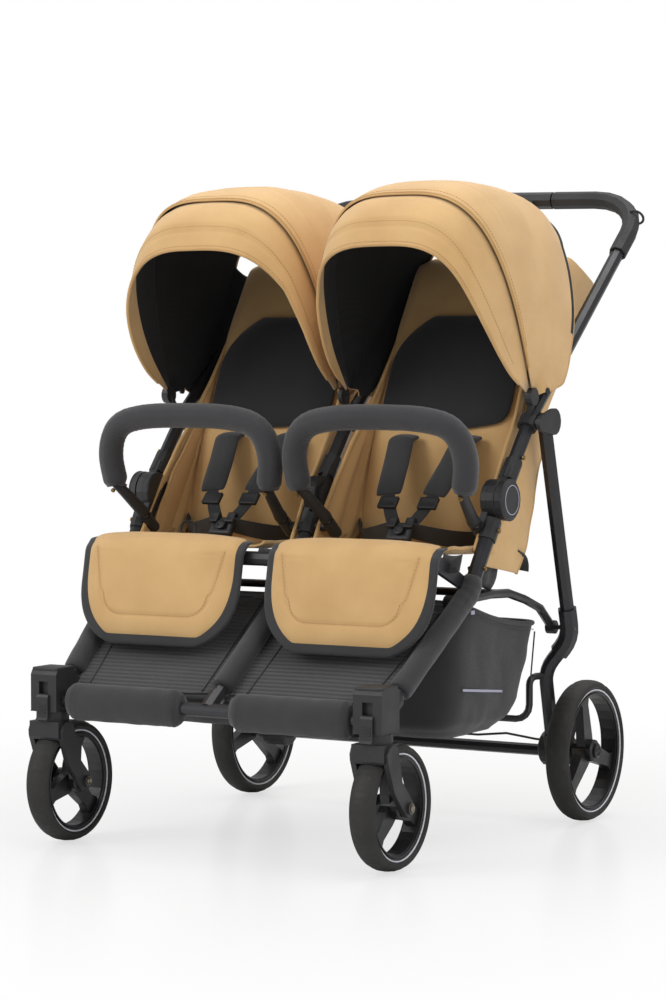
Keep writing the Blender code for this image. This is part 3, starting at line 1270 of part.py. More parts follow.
# Black calf panel behind the legrests, with its sleeve round the cross bar
panel_drop = Vector((-stub_way.z, stub_way.y)) * -(CENTRE_TUBE_RADIUS + 0.0055)
panel_top = Vector((LOWER_BEND_Y - 0.020, LOWER_BEND_Z - 0.0145)) + panel_drop
panel_low = Vector((CROSS_BAR_Y + 0.040, CROSS_BAR_Z + 0.040 * stub_way.z / stub_way.y)) + panel_drop
panel_thick = panel_drop.normalized() * PANEL_THICKNESS
SLEEVE_HALF_HEIGHT = 0.0315
SLEEVE_HALF_DEPTH = 0.020
SLEEVE_CENTRE_Z = 0.2330
panel = plate(
    "calf_panel", [tuple(panel_top), tuple(panel_low), tuple(panel_low + panel_thick), tuple(panel_top + panel_thick)],
    -PANEL_HALF, PANEL_HALF, black_cloth,
)
ring = []
hole = []
for step in range(20):
    angle = 2 * math.pi * step / 20
    ring.append((
        CROSS_BAR_Y + SLEEVE_HALF_DEPTH * math.cos(angle), SLEEVE_CENTRE_Z + SLEEVE_HALF_HEIGHT * math.sin(angle),
    ))
    hole.append((
        CROSS_BAR_Y + (SLEEVE_HALF_DEPTH - PANEL_THICKNESS) * math.cos(angle),
        SLEEVE_CENTRE_Z + (SLEEVE_HALF_HEIGHT - PANEL_THICKNESS) * math.sin(angle),
    ))
sleeve_outer = guide_plate(ring, -PANEL_HALF + 0.0005, PANEL_HALF - 0.0005)
hem_start = panel_low + panel_thick * 0.5
hem = guide_plate(
    [
        (hem_start.x + 0.012, hem_start.y + 0.010), (hem_start.x + 0.012, hem_start.y + 0.007),
        (CROSS_BAR_Y + 0.010, SLEEVE_CENTRE_Z + 0.004), (CROSS_BAR_Y + 0.010, SLEEVE_CENTRE_Z + 0.010),
    ],
    -PANEL_HALF + 0.001, PANEL_HALF - 0.001,
)
sleeve_hole = guide_plate(hole, -PANEL_HALF - 0.01, PANEL_HALF + 0.01)
cutout = guide_plate(
    [
        (CROSS_BAR_Y - 0.03, SLEEVE_CENTRE_Z - 0.05), (CROSS_BAR_Y + 0.045, SLEEVE_CENTRE_Z - 0.05),
        (CROSS_BAR_Y + 0.045, SLEEVE_CENTRE_Z + 0.06), (CROSS_BAR_Y - 0.03, SLEEVE_CENTRE_Z + 0.06),
    ],
    -PANEL_CUTOUT, PANEL_CUTOUT,
)
join(panel, sleeve_outer, hem)
cut(panel, sleeve_hole, cutout)

# Basket: open cloth box under the seats
basket_outline = [
    (-0.139, 0.3950), (-0.168, 0.2900), (-0.187, 0.1950), (-0.165, 0.1790), (-0.060, 0.1690), (0.041, 0.1750),
    (0.092, 0.2250), (0.127, 0.2810), (0.148, 0.3440),
]
basket = plate("basket", basket_outline, -BASKET_HALF, BASKET_HALF, black_cloth)
basket_middle = Vector((-0.02, 0.28))
inside = []
for spot in basket_outline:
    toward = (basket_middle - Vector(spot)).normalized()
    inside.append(tuple(Vector(spot) + toward * BASKET_CLOTH * 1.3))
above = Vector((0, 0.05))
inside = [tuple(Vector(inside[0]) + above), *inside, tuple(Vector(inside[-1]) + above)]
cut(basket, guide_plate(inside, -BASKET_HALF + BASKET_CLOTH, BASKET_HALF - BASKET_CLOTH))
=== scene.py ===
import json
import math

import bmesh
import bpy
from mathutils import Matrix, Vector, noise


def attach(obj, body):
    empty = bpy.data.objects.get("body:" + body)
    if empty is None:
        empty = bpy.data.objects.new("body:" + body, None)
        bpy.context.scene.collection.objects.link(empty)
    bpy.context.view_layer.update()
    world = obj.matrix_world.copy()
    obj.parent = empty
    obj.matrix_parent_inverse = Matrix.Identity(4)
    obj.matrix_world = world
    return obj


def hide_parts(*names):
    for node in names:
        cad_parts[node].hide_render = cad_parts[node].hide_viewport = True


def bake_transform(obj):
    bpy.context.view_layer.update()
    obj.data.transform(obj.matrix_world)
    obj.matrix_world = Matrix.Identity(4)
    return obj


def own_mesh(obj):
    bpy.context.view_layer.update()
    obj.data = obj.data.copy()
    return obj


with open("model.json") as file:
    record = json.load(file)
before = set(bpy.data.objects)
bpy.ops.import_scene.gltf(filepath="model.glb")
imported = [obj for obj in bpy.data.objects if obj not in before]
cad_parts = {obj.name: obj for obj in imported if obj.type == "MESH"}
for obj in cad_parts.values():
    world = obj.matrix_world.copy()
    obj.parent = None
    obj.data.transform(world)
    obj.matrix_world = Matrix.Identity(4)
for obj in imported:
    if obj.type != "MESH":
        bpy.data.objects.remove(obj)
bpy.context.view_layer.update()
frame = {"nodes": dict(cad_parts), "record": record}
nodes = frame["nodes"]
scene = bpy.context.scene
sides = (("left", -1), ("right", 1))


def only(piece):
    bpy.ops.object.select_all(action="DESELECT")
    piece.select_set(True)
    bpy.context.view_layer.objects.active = piece


def applyAll(piece):
    only(piece)
    for step in list(piece.modifiers):
        bpy.ops.object.modifier_apply(modifier=step.name)


def soften(piece, levels=1):
    step = piece.modifiers.new("soften", "SUBSURF")
    step.levels = levels
    step.render_levels = levels
    applyAll(piece)
    for face in piece.data.polygons:
        face.use_smooth = True


def paint(piece, *finishes):
    piece.data.materials.clear()
    for finish in finishes:
        piece.data.materials.append(finish)


def build(name, spots, faces, *finishes):
    mesh = bpy.data.meshes.new(name)
    mesh.from_pydata([tuple(spot) for spot in spots], [], faces)
    piece = bpy.data.objects.new(name, mesh)
    scene.collection.objects.link(piece)
    paint(piece, *finishes)
    work = bmesh.new()
    work.from_mesh(mesh)
    bmesh.ops.remove_doubles(work, verts=work.verts, dist=0.00001)
    bmesh.ops.recalc_face_normals(work, faces=work.faces)
    work.to_mesh(mesh)
    work.free()
    for face in mesh.polygons:
        face.use_smooth = True
    return piece


# A sheet from a grid of places; its outside looks away from the middle given
def sheetForm(name, columns, rows, place, thickness, middle, *finishes, turned=0.0):
    spots = [place(i / columns, j / rows) for j in range(rows + 1) for i in range(columns + 1)]
    faces = []
    for j in range(rows):
        for i in range(columns):
            a = j * (columns + 1) + i
            faces.append((a, a + 1, a + columns + 2, a + columns + 1))
    piece = build(name, spots, faces, *finishes)
    tally = sum((face.center - Vector(middle)).dot(face.normal) * face.area for face in piece.data.polygons)
    if tally < 0:
        piece.data.flip_normals()
    wall = piece.modifiers.new("wall", "SOLIDIFY")
    wall.thickness = thickness
    wall.offset = 0
    wall.material_offset = len(finishes) - 1
    applyAll(piece)
    for face in piece.data.polygons:
        face.use_smooth = True
    if turned:
        first = columns * rows + int(rows * (1 - turned)) * columns
        for face in piece.data.polygons[first:2 * columns * rows]:
            face.material_index = 0
    return piece


# A closed pad from two grids joined at their borders
def padForm(name, columns, rows, place, *finishes):
    wide = columns + 1
    count = wide * (rows + 1)
    spots = [place(i / columns, j / rows, layer) for layer in (1, -1) for j in range(rows + 1) for i in range(wide)]
    faces = []
    for j in range(rows):
        for i in range(columns):
            a = j * wide + i
            faces.append((a, a + 1, a + wide + 1, a + wide))
            faces.append((count + a, count + a + wide, count + a + wide + 1, count + a + 1))
    border = [i for i in range(wide)] + [j * wide + columns for j in range(1, rows + 1)]
    border += [rows * wide + i for i in range(columns - 1, -1, -1)] + [j * wide for j in range(rows - 1, 0, -1)]
    for first, second in zip(border, border[1:] + border[:1]):
        faces.append((first, second, count + second, count + first))
    return build(name, spots, faces, *finishes)


# A round form along a path; radius may change with the share along it and the angle round it
def tubeForm(name, path, radius, around, *finishes, flat=1.0, closed=False):
    path = [Vector(spot) for spot in path]
    total = len(path)
    spots = []
    ahead = (path[1] - path[0]).normalized()
    across = ahead.orthogonal().normalized()
    for index, spot in enumerate(path):
        if closed:
            way = (path[(index + 1) % total] - path[index - 1]).normalized()
        else:
            way = (path[min(index + 1, total - 1)] - path[max(index - 1, 0)]).normalized()
        across = (across - way * across.dot(way)).normalized()
        over = way.cross(across)
        for turn in range(around):
            angle = 2 * math.pi * turn / around
            size = radius(index / (total - 1), angle) if callable(radius) else radius
            spots.append(spot + (across * math.cos(angle) + over * math.sin(angle) * flat) * size)
    faces = []
    for index in range(total if closed else total - 1):
        ring = index * around
        following = ((index + 1) % total) * around
        for turn in range(around):
            other = (turn + 1) % around
            faces.append((ring + turn, ring + other, following + other, following + turn))
    if not closed:
        faces.append(tuple(range(around)))
        faces.append(tuple((total - 1) * around + turn for turn in range(around)))
    return build(name, spots, faces, *finishes)


# Corners rounded by arcs, as a bent tube has them
def bent(points, radius, steps=6):
    points = [Vector(spot) for spot in points]
    path = [points[0]]
    for before, corner, after in zip(points, points[1:], points[2:]):
        back = (before - corner)
        on = (after - corner)
        reach = min(radius * math.tan((math.pi - back.angle(on)) / 2), back.length * 0.49, on.length * 0.49)
        start = corner + back.normalized() * reach
        end = corner + on.normalized() * reach
        for step in range(steps + 1):
            share = step / steps
            path.append(start.lerp(corner, share).lerp(corner.lerp(end, share), share))
    path.append(points[-1])
    return path


# The same path with even steps
def even(path, count):
    path = [Vector(spot) for spot in path]
    lengths = [0.0]
    for first, second in zip(path, path[1:]):
        lengths.append(lengths[-1] + (second - first).length)
    result = []
    index = 0
    for step in range(count + 1):
        target = lengths[-1] * step / count
        while index < len(path) - 2 and lengths[index + 1] < target:
            index += 1
        stretch = max(lengths[index + 1] - lengths[index], 1e-9)
        result.append(path[index].lerp(path[index + 1], min(1.0, (target - lengths[index]) / stretch)))
    return result


def smoothLine(points, count):
    line = [Vector(spot) for spot in points]
    for turn in range(3):
        cut = [line[0]]
        for first, second in zip(line, line[1:]):
            cut += [first.lerp(second, 0.25), first.lerp(second, 0.75)]
        line = cut + [line[-1]]
    return even(line, count)


# Webbing: a flat band along a path, its width along a given way
def bandForm(name, path, width, thickness, way, *finishes):
    path = [Vector(spot) for spot in path]
    way = Vector(way).normalized()
    spots = []
    for index, spot in enumerate(path):
        ahead = (path[min(index + 1, len(path) - 1)] - path[max(index - 1, 0)]).normalized()
        side = (way - ahead * way.dot(ahead)).normalized()
        up = ahead.cross(side)
        for x, y in (
            (-0.5, -0.35), (-0.46, -0.5), (0.46, -0.5), (0.5, -0.35), (0.5, 0.35), (0.46, 0.5), (-0.46, 0.5),
            (-0.5, 0.35),
        ):
            spots.append(spot + side * x * width + up * y * thickness)
    faces = []
    for index in range(len(path) - 1):
        for turn in range(8):
            a = index * 8 + turn
            b = index * 8 + (turn + 1) % 8
            faces.append((a, b, b + 8, a + 8))
    faces.append(tuple(range(8)))
    faces.append(tuple(range((len(path) - 1) * 8, len(path) * 8)))
    return build(name, spots, faces, *finishes)


# Sewn stitches: short rounded threads along a path, as one mesh
def stitchForm(name, path, pitch, length, size, finish):
    path = [Vector(spot) for spot in path]
    total = sum((b - a).length for a, b in zip(path, path[1:]))
    marks = even(path, max(2, int(total / pitch)))
    spots = []
    faces = []
    for first, second in zip(marks, marks[1:]):
        way = second - first
        if way.length < 1e-6:
            continue
        way.normalize()
        across = way.orthogonal().normalized()
        over = way.cross(across)
        base = len(spots)
        for reach, width in ((0.0, 0.35), (0.22, 1.0), (0.78, 1.0), (1.0, 0.35)):
            for turn in range(5):
                angle = 2 * math.pi * turn / 5
                spoke = across * math.cos(angle) + over * math.sin(angle)
                spots.append(first + way * length * reach + spoke * size * width)
        for ring in range(3):
            for turn in range(5):
                a = base + ring * 5 + turn
                b = base + ring * 5 + (turn + 1) % 5
                faces.append((a, b, b + 5, a + 5))
        faces.append(tuple(range(base, base + 5)))
        faces.append(tuple(range(base + 15, base + 20)))
    return build(name, spots, faces, finish)


# Air pressure swells a pad between the seams that hold it: cap is the furthest that a point may move
def swell(piece, cap, held, pressure=4.0):
    only(piece)
    mesh = piece.data
    start = [vert.co.copy() for vert in mesh.vertices]
    seam = piece.vertex_groups.new(name="seam")
    for index, spot in enumerate(start):
        weight = held(spot)
        if weight > 0:
            seam.add([index], weight, "REPLACE")
    cloth = piece.modifiers.new("cloth", "CLOTH")
    cloth.settings.quality = 4
    cloth.settings.mass = 0.3
    cloth.settings.tension_stiffness = 15
    cloth.settings.compression_stiffness = 15
    cloth.settings.shear_stiffness = 5
    cloth.settings.bending_stiffness = 0.5
    cloth.settings.use_pressure = True
    cloth.settings.uniform_pressure_force = pressure
    cloth.settings.effector_weights.gravity = 0
    cloth.settings.vertex_group_mass = "seam"
    cloth.collision_settings.use_collision = False
    cloth.point_cache.frame_start = 1
    cloth.point_cache.frame_end = 20
    for step in range(1, 21):
        scene.frame_set(step)
    ready = piece.evaluated_get(bpy.context.evaluated_depsgraph_get())
    swollen = [vert.co.copy() for vert in ready.data.vertices]
    piece.modifiers.remove(cloth)
    piece.vertex_groups.remove(seam)
    scene.frame_set(1)
    for vert, first, last in zip(mesh.vertices, start, swollen):
        move = last - first
        if move.length > cap:
            move *= cap / move.length
        vert.co = first + move
    mesh.update()
    soften(piece, 1)


def rippled(spot, scale, seed=0.0):
    return noise.noise(Vector((spot[0], spot[1], spot[2])) * scale + Vector((seed, seed * 0.7, -seed)))


# Finishes
def socketIn(group, name, kind, value):
    item = group.interface.new_socket(name=name, in_out="INPUT", socket_type=kind)
    item.default_value = value


def socketOut(group, name, kind="NodeSocketFloat"):
    group.interface.new_socket(name=name, in_out="OUTPUT", socket_type=kind)


def node(tree, kind, **values):
    item = tree.nodes.new(kind)
    for name, value in values.items():
        setattr(item, name, value)
    return item


def wire(tree, start, out, end, into):
    tree.links.new(start.outputs[out], end.inputs[into])


def sum2(tree, first, firstOut, second, secondOut, kind="ADD"):
    item = node(tree, "ShaderNodeMath", operation=kind)
    wire(tree, first, firstOut, item, 0)
    wire(tree, second, secondOut, item, 1)
    return item


# Woven threads in two directions, mottling and slubs, all on object coordinates
woven = bpy.data.node_groups.new("woven", "ShaderNodeTree")
socketIn(woven, "Pitch", "NodeSocketFloat", 800.0)
socketOut(woven, "Thread")
socketOut(woven, "Mottle")
socketOut(woven, "Height")
groupIn = node(woven, "NodeGroupInput")
groupOut = node(woven, "NodeGroupOutput")
place = node(woven, "ShaderNodeTexCoord")
threads = []
for way in ((1, 0, 0), (0, 0.62, 0.78)):
    turned = node(woven, "ShaderNodeVectorMath", operation="DOT_PRODUCT")
    turned.inputs[1].default_value = way
    wire(woven, place, "Object", turned, 0)
    scaled = node(woven, "ShaderNodeMath", operation="MULTIPLY")
    wire(woven, turned, "Value", scaled, 0)
    wire(woven, groupIn, "Pitch", scaled, 1)
    wave = node(woven, "ShaderNodeMath", operation="SINE")
    multiplied = node(woven, "ShaderNodeMath", operation="MULTIPLY")
    multiplied.inputs[1].default_value = 2 * math.pi
    wire(woven, scaled, 0, multiplied, 0)
    wire(woven, multiplied, 0, wave, 0)
    threads.append(wave)
crossed = sum2(woven, threads[0], 0, threads[1], 0, "MULTIPLY")
half = node(woven, "ShaderNodeMapRange")
half.inputs["From Min"].default_value = -1
wire(woven, crossed, 0, half, "Value")
wire(woven, half, 0, groupOut, "Thread")
cloudy = node(woven, "ShaderNodeTexNoise")
cloudy.inputs["Scale"].default_value = 14
cloudy.inputs["Detail"].default_value = 5
wire(woven, place, "Object", cloudy, "Vector")
wire(woven, cloudy, 0, groupOut, "Mottle")
slub = node(woven, "ShaderNodeTexNoise")
slub.inputs["Scale"].default_value = 420
slub.inputs["Detail"].default_value = 2
wire(woven, place, "Object", slub, "Vector")
raised = sum2(woven, half, 0, slub, 0)
wire(woven, raised, 0, groupOut, "Height")

# Fine moulded grain with worn, lighter patches
worn = bpy.data.node_groups.new("worn", "ShaderNodeTree")
socketIn(worn, "Grain", "NodeSocketFloat", 600.0)
socketOut(worn, "Grit")
socketOut(worn, "Wear")
socketOut(worn, "Smudge")
groupIn = node(worn, "NodeGroupInput")
groupOut = node(worn, "NodeGroupOutput")
place = node(worn, "ShaderNodeTexCoord")
grit = node(worn, "ShaderNodeTexNoise")
grit.inputs["Detail"].default_value = 3
wire(worn, place, "Object", grit, "Vector")
wire(worn, groupIn, "Grain", grit, "Scale")
wire(worn, grit, 0, groupOut, "Grit")
smudge = node(worn, "ShaderNodeTexNoise")
smudge.inputs["Scale"].default_value = 22
smudge.inputs["Detail"].default_value = 6
wire(worn, place, "Object", smudge, "Vector")
wire(worn, smudge, 0, groupOut, "Smudge")
rubbed = node(worn, "ShaderNodeTexNoise")
rubbed.inputs["Scale"].default_value = 90
rubbed.inputs["Detail"].default_value = 8
rubbed.inputs["Roughness"].default_value = 0.7
wire(worn, place, "Object", rubbed, "Vector")
cutOff = node(worn, "ShaderNodeMapRange")
cutOff.inputs["From Min"].default_value = 0.60
cutOff.inputs["From Max"].default_value = 0.78
wire(worn, rubbed, 0, cutOff, "Value")
wire(worn, cutOff, 0, groupOut, "Wear")


def linear(code):
    parts = [int(code[i:i + 2], 16) / 255 for i in (1, 3, 5)]
    return tuple(p / 12.92 if p <= 0.04045 else ((p + 0.055) / 1.055) ** 2.4 for p in parts) + (1,)


def blankFinish(name):
    finish = bpy.data.materials.new(name)
    finish.use_nodes = True
    tree = finish.node_tree
    return finish, tree, tree.nodes["Principled BSDF"]


def mixColour(tree, factor, factorOut, first, second):
    item = node(tree, "ShaderNodeMix", data_type="RGBA")
    item.inputs["A"].default_value = first
    item.inputs["B"].default_value = second
    tree.links.new(factor.outputs[factorOut], item.inputs[0])
    return item


# Cloth: base and shade colours, thread count per metre, bump in metres, sheen
def clothFinish(name, colour, shade, pitch=700, depth=0.0003, sheen=0.3, rough=0.85, contrast=0.6):
    finish, tree, shader = blankFinish(name)
    group = node(tree, "ShaderNodeGroup", node_tree=woven)
    group.inputs["Pitch"].default_value = pitch
    spread = node(tree, "ShaderNodeMapRange")
    spread.inputs["From Min"].default_value = 0.3
    spread.inputs["From Max"].default_value = 0.7
    spread.inputs["To Max"].default_value = contrast
    wire(tree, group, "Mottle", spread, "Value")
    fine = node(tree, "ShaderNodeMath", operation="MULTIPLY_ADD")
    fine.inputs[1].default_value = 0.22
    wire(tree, group, "Thread", fine, 0)
    wire(tree, spread, 0, fine, 2)
    colours = mixColour(tree, fine, 0, linear(colour), linear(shade))
    tree.links.new(colours.outputs["Result"], shader.inputs["Base Color"])
    bump = node(tree, "ShaderNodeBump")
    bump.inputs["Strength"].default_value = 0.6
    bump.inputs["Distance"].default_value = depth
    wire(tree, group, "Height", bump, "Height")
    wire(tree, bump, 0, shader, "Normal")
    shader.inputs["Roughness"].default_value = rough
    shader.inputs["Sheen Weight"].default_value = sheen
    shader.inputs["Sheen Roughness"].default_value = 0.5
    return finish


# Hard finishes: base and worn colours, roughness range, grain per metre, bump in metres
def hardFinish(name, colour, wearColour, low, high, grain=600, depth=0.0001, metallic=0.0, coat=0.0, strength=0.4):
    finish, tree, shader = blankFinish(name)
    group = node(tree, "ShaderNodeGroup", node_tree=worn)
    group.inputs["Grain"].default_value = grain
    colours = mixColour(tree, group, "Wear", linear(colour), linear(wearColour))
    tree.links.new(colours.outputs["Result"], shader.inputs["Base Color"])
    rough = node(tree, "ShaderNodeMapRange")
    rough.inputs["From Min"].default_value = 0.3
    rough.inputs["From Max"].default_value = 0.7
    rough.inputs["To Min"].default_value = low
    rough.inputs["To Max"].default_value = high
    wire(tree, group, "Smudge", rough, "Value")
    wire(tree, rough, 0, shader, "Roughness")
    bump = node(tree, "ShaderNodeBump")
    bump.inputs["Strength"].default_value = strength
    bump.inputs["Distance"].default_value = depth
    wire(tree, group, "Grit", bump, "Height")
    wire(tree, bump, 0, shader, "Normal")
    shader.inputs["Metallic"].default_value = metallic
    shader.inputs["Coat Weight"].default_value = coat
    return finish


tanCloth = clothFinish("tanCloth", "#d9b279", "#c79d66", 620, 0.00035, 0.25, 0.88)
tanBinding = clothFinish("tanBinding", "#d2a96f", "#bb915a", 900, 0.0003, 0.25, 0.85)
blackCloth = clothFinish("blackCloth", "#313133", "#232325", 620, 0.0005, 0.25, 0.8)
# Near-black for the undersides of hood, visor and rear curtains; on the curtains it is painted shade over cloth that
# is tan
darkLiningAndPaintedShade = clothFinish("darkLiningAndPaintedShade", "#17171b", "#0f0f12", 700, 0.0003, 0.08, 0.9)
insertCloth = clothFinish("insertCloth", "#1e1e22", "#151518", 500, 0.0004, 0.25, 0.85)
bumperCloth = clothFinish("bumperCloth", "#303033", "#222225", 420, 0.0008, 0.3, 0.75)
webbing = clothFinish("webbing", "#242426", "#141416", 500, 0.0012, 0.2, 0.7)
seamThread = clothFinish("seamThread", "#b98f5a", "#a17947", 1500, 0.0002, 0.1, 0.8)
blackThread = clothFinish("blackThread", "#3c3c40", "#2a2a2c", 1500, 0.0002, 0.1, 0.8)
greyReflector = hardFinish("greyReflector", "#a9a9bd", "#bdbdca", 0.3, 0.5, 1400, 0.0003)
framePaint = hardFinish("framePaint", "#2b2b2e", "#3f3f43", 0.30, 0.46, 900, 0.00008, 0.35, 0.12)
blackPlastic = hardFinish("blackPlastic", "#252527", "#38383b", 0.42, 0.60, 1100, 0.00018)
handleFoam = hardFinish("handleFoam", "#29292b", "#353538", 0.62, 0.80, 1500, 0.0004)
tyreRubber = hardFinish("tyreRubber", "#242321", "#3a3835", 0.58, 0.78, 900, 0.0003)
rimPlastic = hardFinish("rimPlastic", "#18181a", "#29292b", 0.30, 0.48, 1200, 0.0001)
ringPaint = hardFinish("ringPaint", "#dcdce4", "#b9b9c2", 0.28, 0.42, 700, 0.00005)
boltSteel = hardFinish("boltSteel", "#8f8779", "#b9b2a4", 0.22, 0.40, 900, 0.0001, 1.0)
rivetBrass = hardFinish("rivetBrass", "#8d7349", "#c0a878", 0.25, 0.42, 900, 0.0001, 1.0)
cableBlack = hardFinish("cableBlack", "#1b1b1d", "#2c2c2e", 0.40, 0.55, 900, 0.0001)
zipTape = clothFinish("zipTape", "#1b1b1d", "#2a2a2e", 900, 0.0004, 0.1, 0.7)

slotFinish = {
    "frame_paint": framePaint, "black_plastic": blackPlastic, "handle_foam": handleFoam, "tyre_rubber": tyreRubber,
    "tan_cloth": tanCloth, "black_cloth": blackCloth, "cable_black": cableBlack,
}
slotOf = {item["node"]: item["material_slot"] for item in frame["record"]["subparts"]}
for name, item in nodes.items():
    finish = slotFinish[slotOf[name]]
    if "_rim_" in name:
        finish = rimPlastic
    if not item.data.materials:
        item.data.materials.append(finish)
    for index in range(len(item.data.materials)):
        item.data.materials[index] = finish
print("finishes", len(bpy.data.materials))

# Round frame parts are shaded smoothly up to their real edges
for name, item in nodes.items():
    only(item)
    bpy.ops.object.shade_smooth_by_angle(angle=math.radians(35))

# Camera, floor and light
view = {"place": (2.528, -4.341, 0.769), "target": (0.0115, -0.0633, 0.5503), "lens": 107.55, "sensor": 36}
lens = bpy.data.cameras.new("camera")
lens.lens = view["lens"]
lens.sensor_width = view["sensor"]
camera = bpy.data.objects.new("camera", lens)
camera.location = view["place"]
aim = Vector(view["target"]) - Vector(view["place"])
camera.rotation_euler = aim.to_track_quat("-Z", "Y").to_euler()
scene.collection.objects.link(camera)
scene.camera = camera

studio = {
    "floor": 9.0, "key": 70, "fill": 26, "top": 60, "world": 0.55, "glow": 0.66, "fadeStart": 0.55, "fadeEnd": 1.7,
}
only(camera)
bpy.ops.object.select_all(action="DESELECT")
bpy.ops.mesh.primitive_plane_add(size=2 * studio["floor"], location=(0, 0, -0.0002))
floor = bpy.context.active_object
floor.name = "studioFloor"
floorFinish, tree, shader = blankFinish("floorFinish")
shader.inputs["Base Color"].default_value = (0.92, 0.92, 0.92, 1)
shader.inputs["Roughness"].default_value = 0.22
shader.inputs["Specular IOR Level"].default_value = 0.35
glow = node(tree, "ShaderNodeEmission")
glow.inputs["Color"].default_value = (1, 1, 1, 1)
rays = node(tree, "ShaderNodeLightPath")
place = node(tree, "ShaderNodeTexCoord")
distance = node(tree, "ShaderNodeVectorMath", operation="LENGTH")
wire(tree, place, "Object", distance, 0)
fade = node(tree, "ShaderNodeMapRange", interpolation_type="SMOOTHSTEP")
fade.inputs["From Min"].default_value = studio["fadeStart"]
fade.inputs["From Max"].default_value = studio["fadeEnd"]
fade.inputs["To Min"].default_value = studio["glow"]
wire(tree, distance, "Value", fade, "Value")
share = sum2(tree, rays, "Is Camera Ray", fade, 0, "MULTIPLY")
blended = node(tree, "ShaderNodeMixShader")
wire(tree, share, 0, blended, 0)
tree.links.new(shader.outputs[0], blended.inputs[1])
tree.links.new(glow.outputs[0], blended.inputs[2])
tree.links.new(blended.outputs[0], tree.nodes["Material Output"].inputs["Surface"])
paint(floor, floorFinish)

world = bpy.data.worlds.new("studio")
scene.world = world
world.use_nodes = True
tree = world.node_tree
soft = tree.nodes["Background"]
soft.inputs["Color"].default_value = (1, 1, 1, 1)
soft.inputs["Strength"].default_value = studio["world"]
bright = node(tree, "ShaderNodeBackground")
bright.inputs["Color"].default_value = (1, 1, 1, 1)
bright.inputs["Strength"].default_value = 1.0
rays = node(tree, "ShaderNodeLightPath")
seen = sum2(tree, rays, "Is Camera Ray", rays, "Is Transmission Ray", "MAXIMUM")
blended = node(tree, "ShaderNodeMixShader")
wire(tree, seen, 0, blended, 0)
tree.links.new(soft.outputs[0], blended.inputs[1])
tree.links.new(bright.outputs[0], blended.inputs[2])
tree.links.new(blended.outputs[0], tree.nodes["World Output"].inputs["Surface"])

lamps = (
    ("keyLamp", (-2.2, -3.2, 3.0), 2.4, studio["key"]),
    ("fillLamp", (3.4, -1.6, 1.8), 2.2, studio["fill"]),
    ("topLamp", (0.2, 0.6, 3.4), 2.8, studio["top"]),
)
for name, spot, size, power in lamps:
    lamp = bpy.data.lights.new(name, "AREA")
    lamp.shape = "DISK"
    lamp.size = size
    lamp.energy = power
    item = bpy.data.objects.new(name, lamp)
    item.location = spot
    item.rotation_euler = (Vector((0, 0, 0.5)) - Vector(spot)).to_track_quat("-Z", "Y").to_euler()
    scene.collection.objects.link(item)
scene.view_settings.view_transform = "Standard"
print("camera and studio")


def readLine(line, value):
    if value <= line[0][0]:
        return line[0][1]
    for (low, first), (high, second) in zip(line, line[1:]):
        if value <= high:
            return first + (second - first) * (value - low) / (high - low)
    return line[-1][1]


def dip(value, spot, width):
    return math.exp(-((value - spot) / width) ** 2)


# Canopies: bows turn about the hub, angles in degrees from the rear
canopy = {
    "x": 0.178, "half": 0.1772, "visorHalf": 0.1705, "middleGap": 0.0035, "cloth": 0.0022,
    "hub": (-0.008, 0.723), "knob": 0.0152, "rear": 54, "join": 112, "tuck": 108.5, "front": 128,
    "bows": [(54, 0.372), (62, 0.375), (74, 0.3605), (86, 0.3535), (98, 0.3530), (107, 0.3524), (112, 0.3502)],
    "visorBows": [(108.5, 0.3462), (114, 0.3462), (121, 0.3345), (128, 0.308)],
    "outerEdge": [(0.03, 151), (0.075, 151), (0.15, 143.5), (0.225, 136.5), (0.271, 131.5), (0.308, 128)],
    "innerEdge": [(0.03, 141), (0.075, 141), (0.15, 133), (0.222, 128), (0.308, 128)],
    "cheek": [(0.0, 10.0), (0.109, 10.0), (0.163, 28.5), (0.236, 43.0), (0.300, 54)],
    "innerCheek": [(0.0, 0), (0.057, 0), (0.100, 20), (0.141, 29), (0.228, 36.5), (0.300, 45), (0.372, 54)],
    "seams": (99, 84, 67), "seamDepth": 0.0016, "ruffle": 0.0016, "power": 0.62, "start": 0.0063, "postRoom": 0.0150,
}


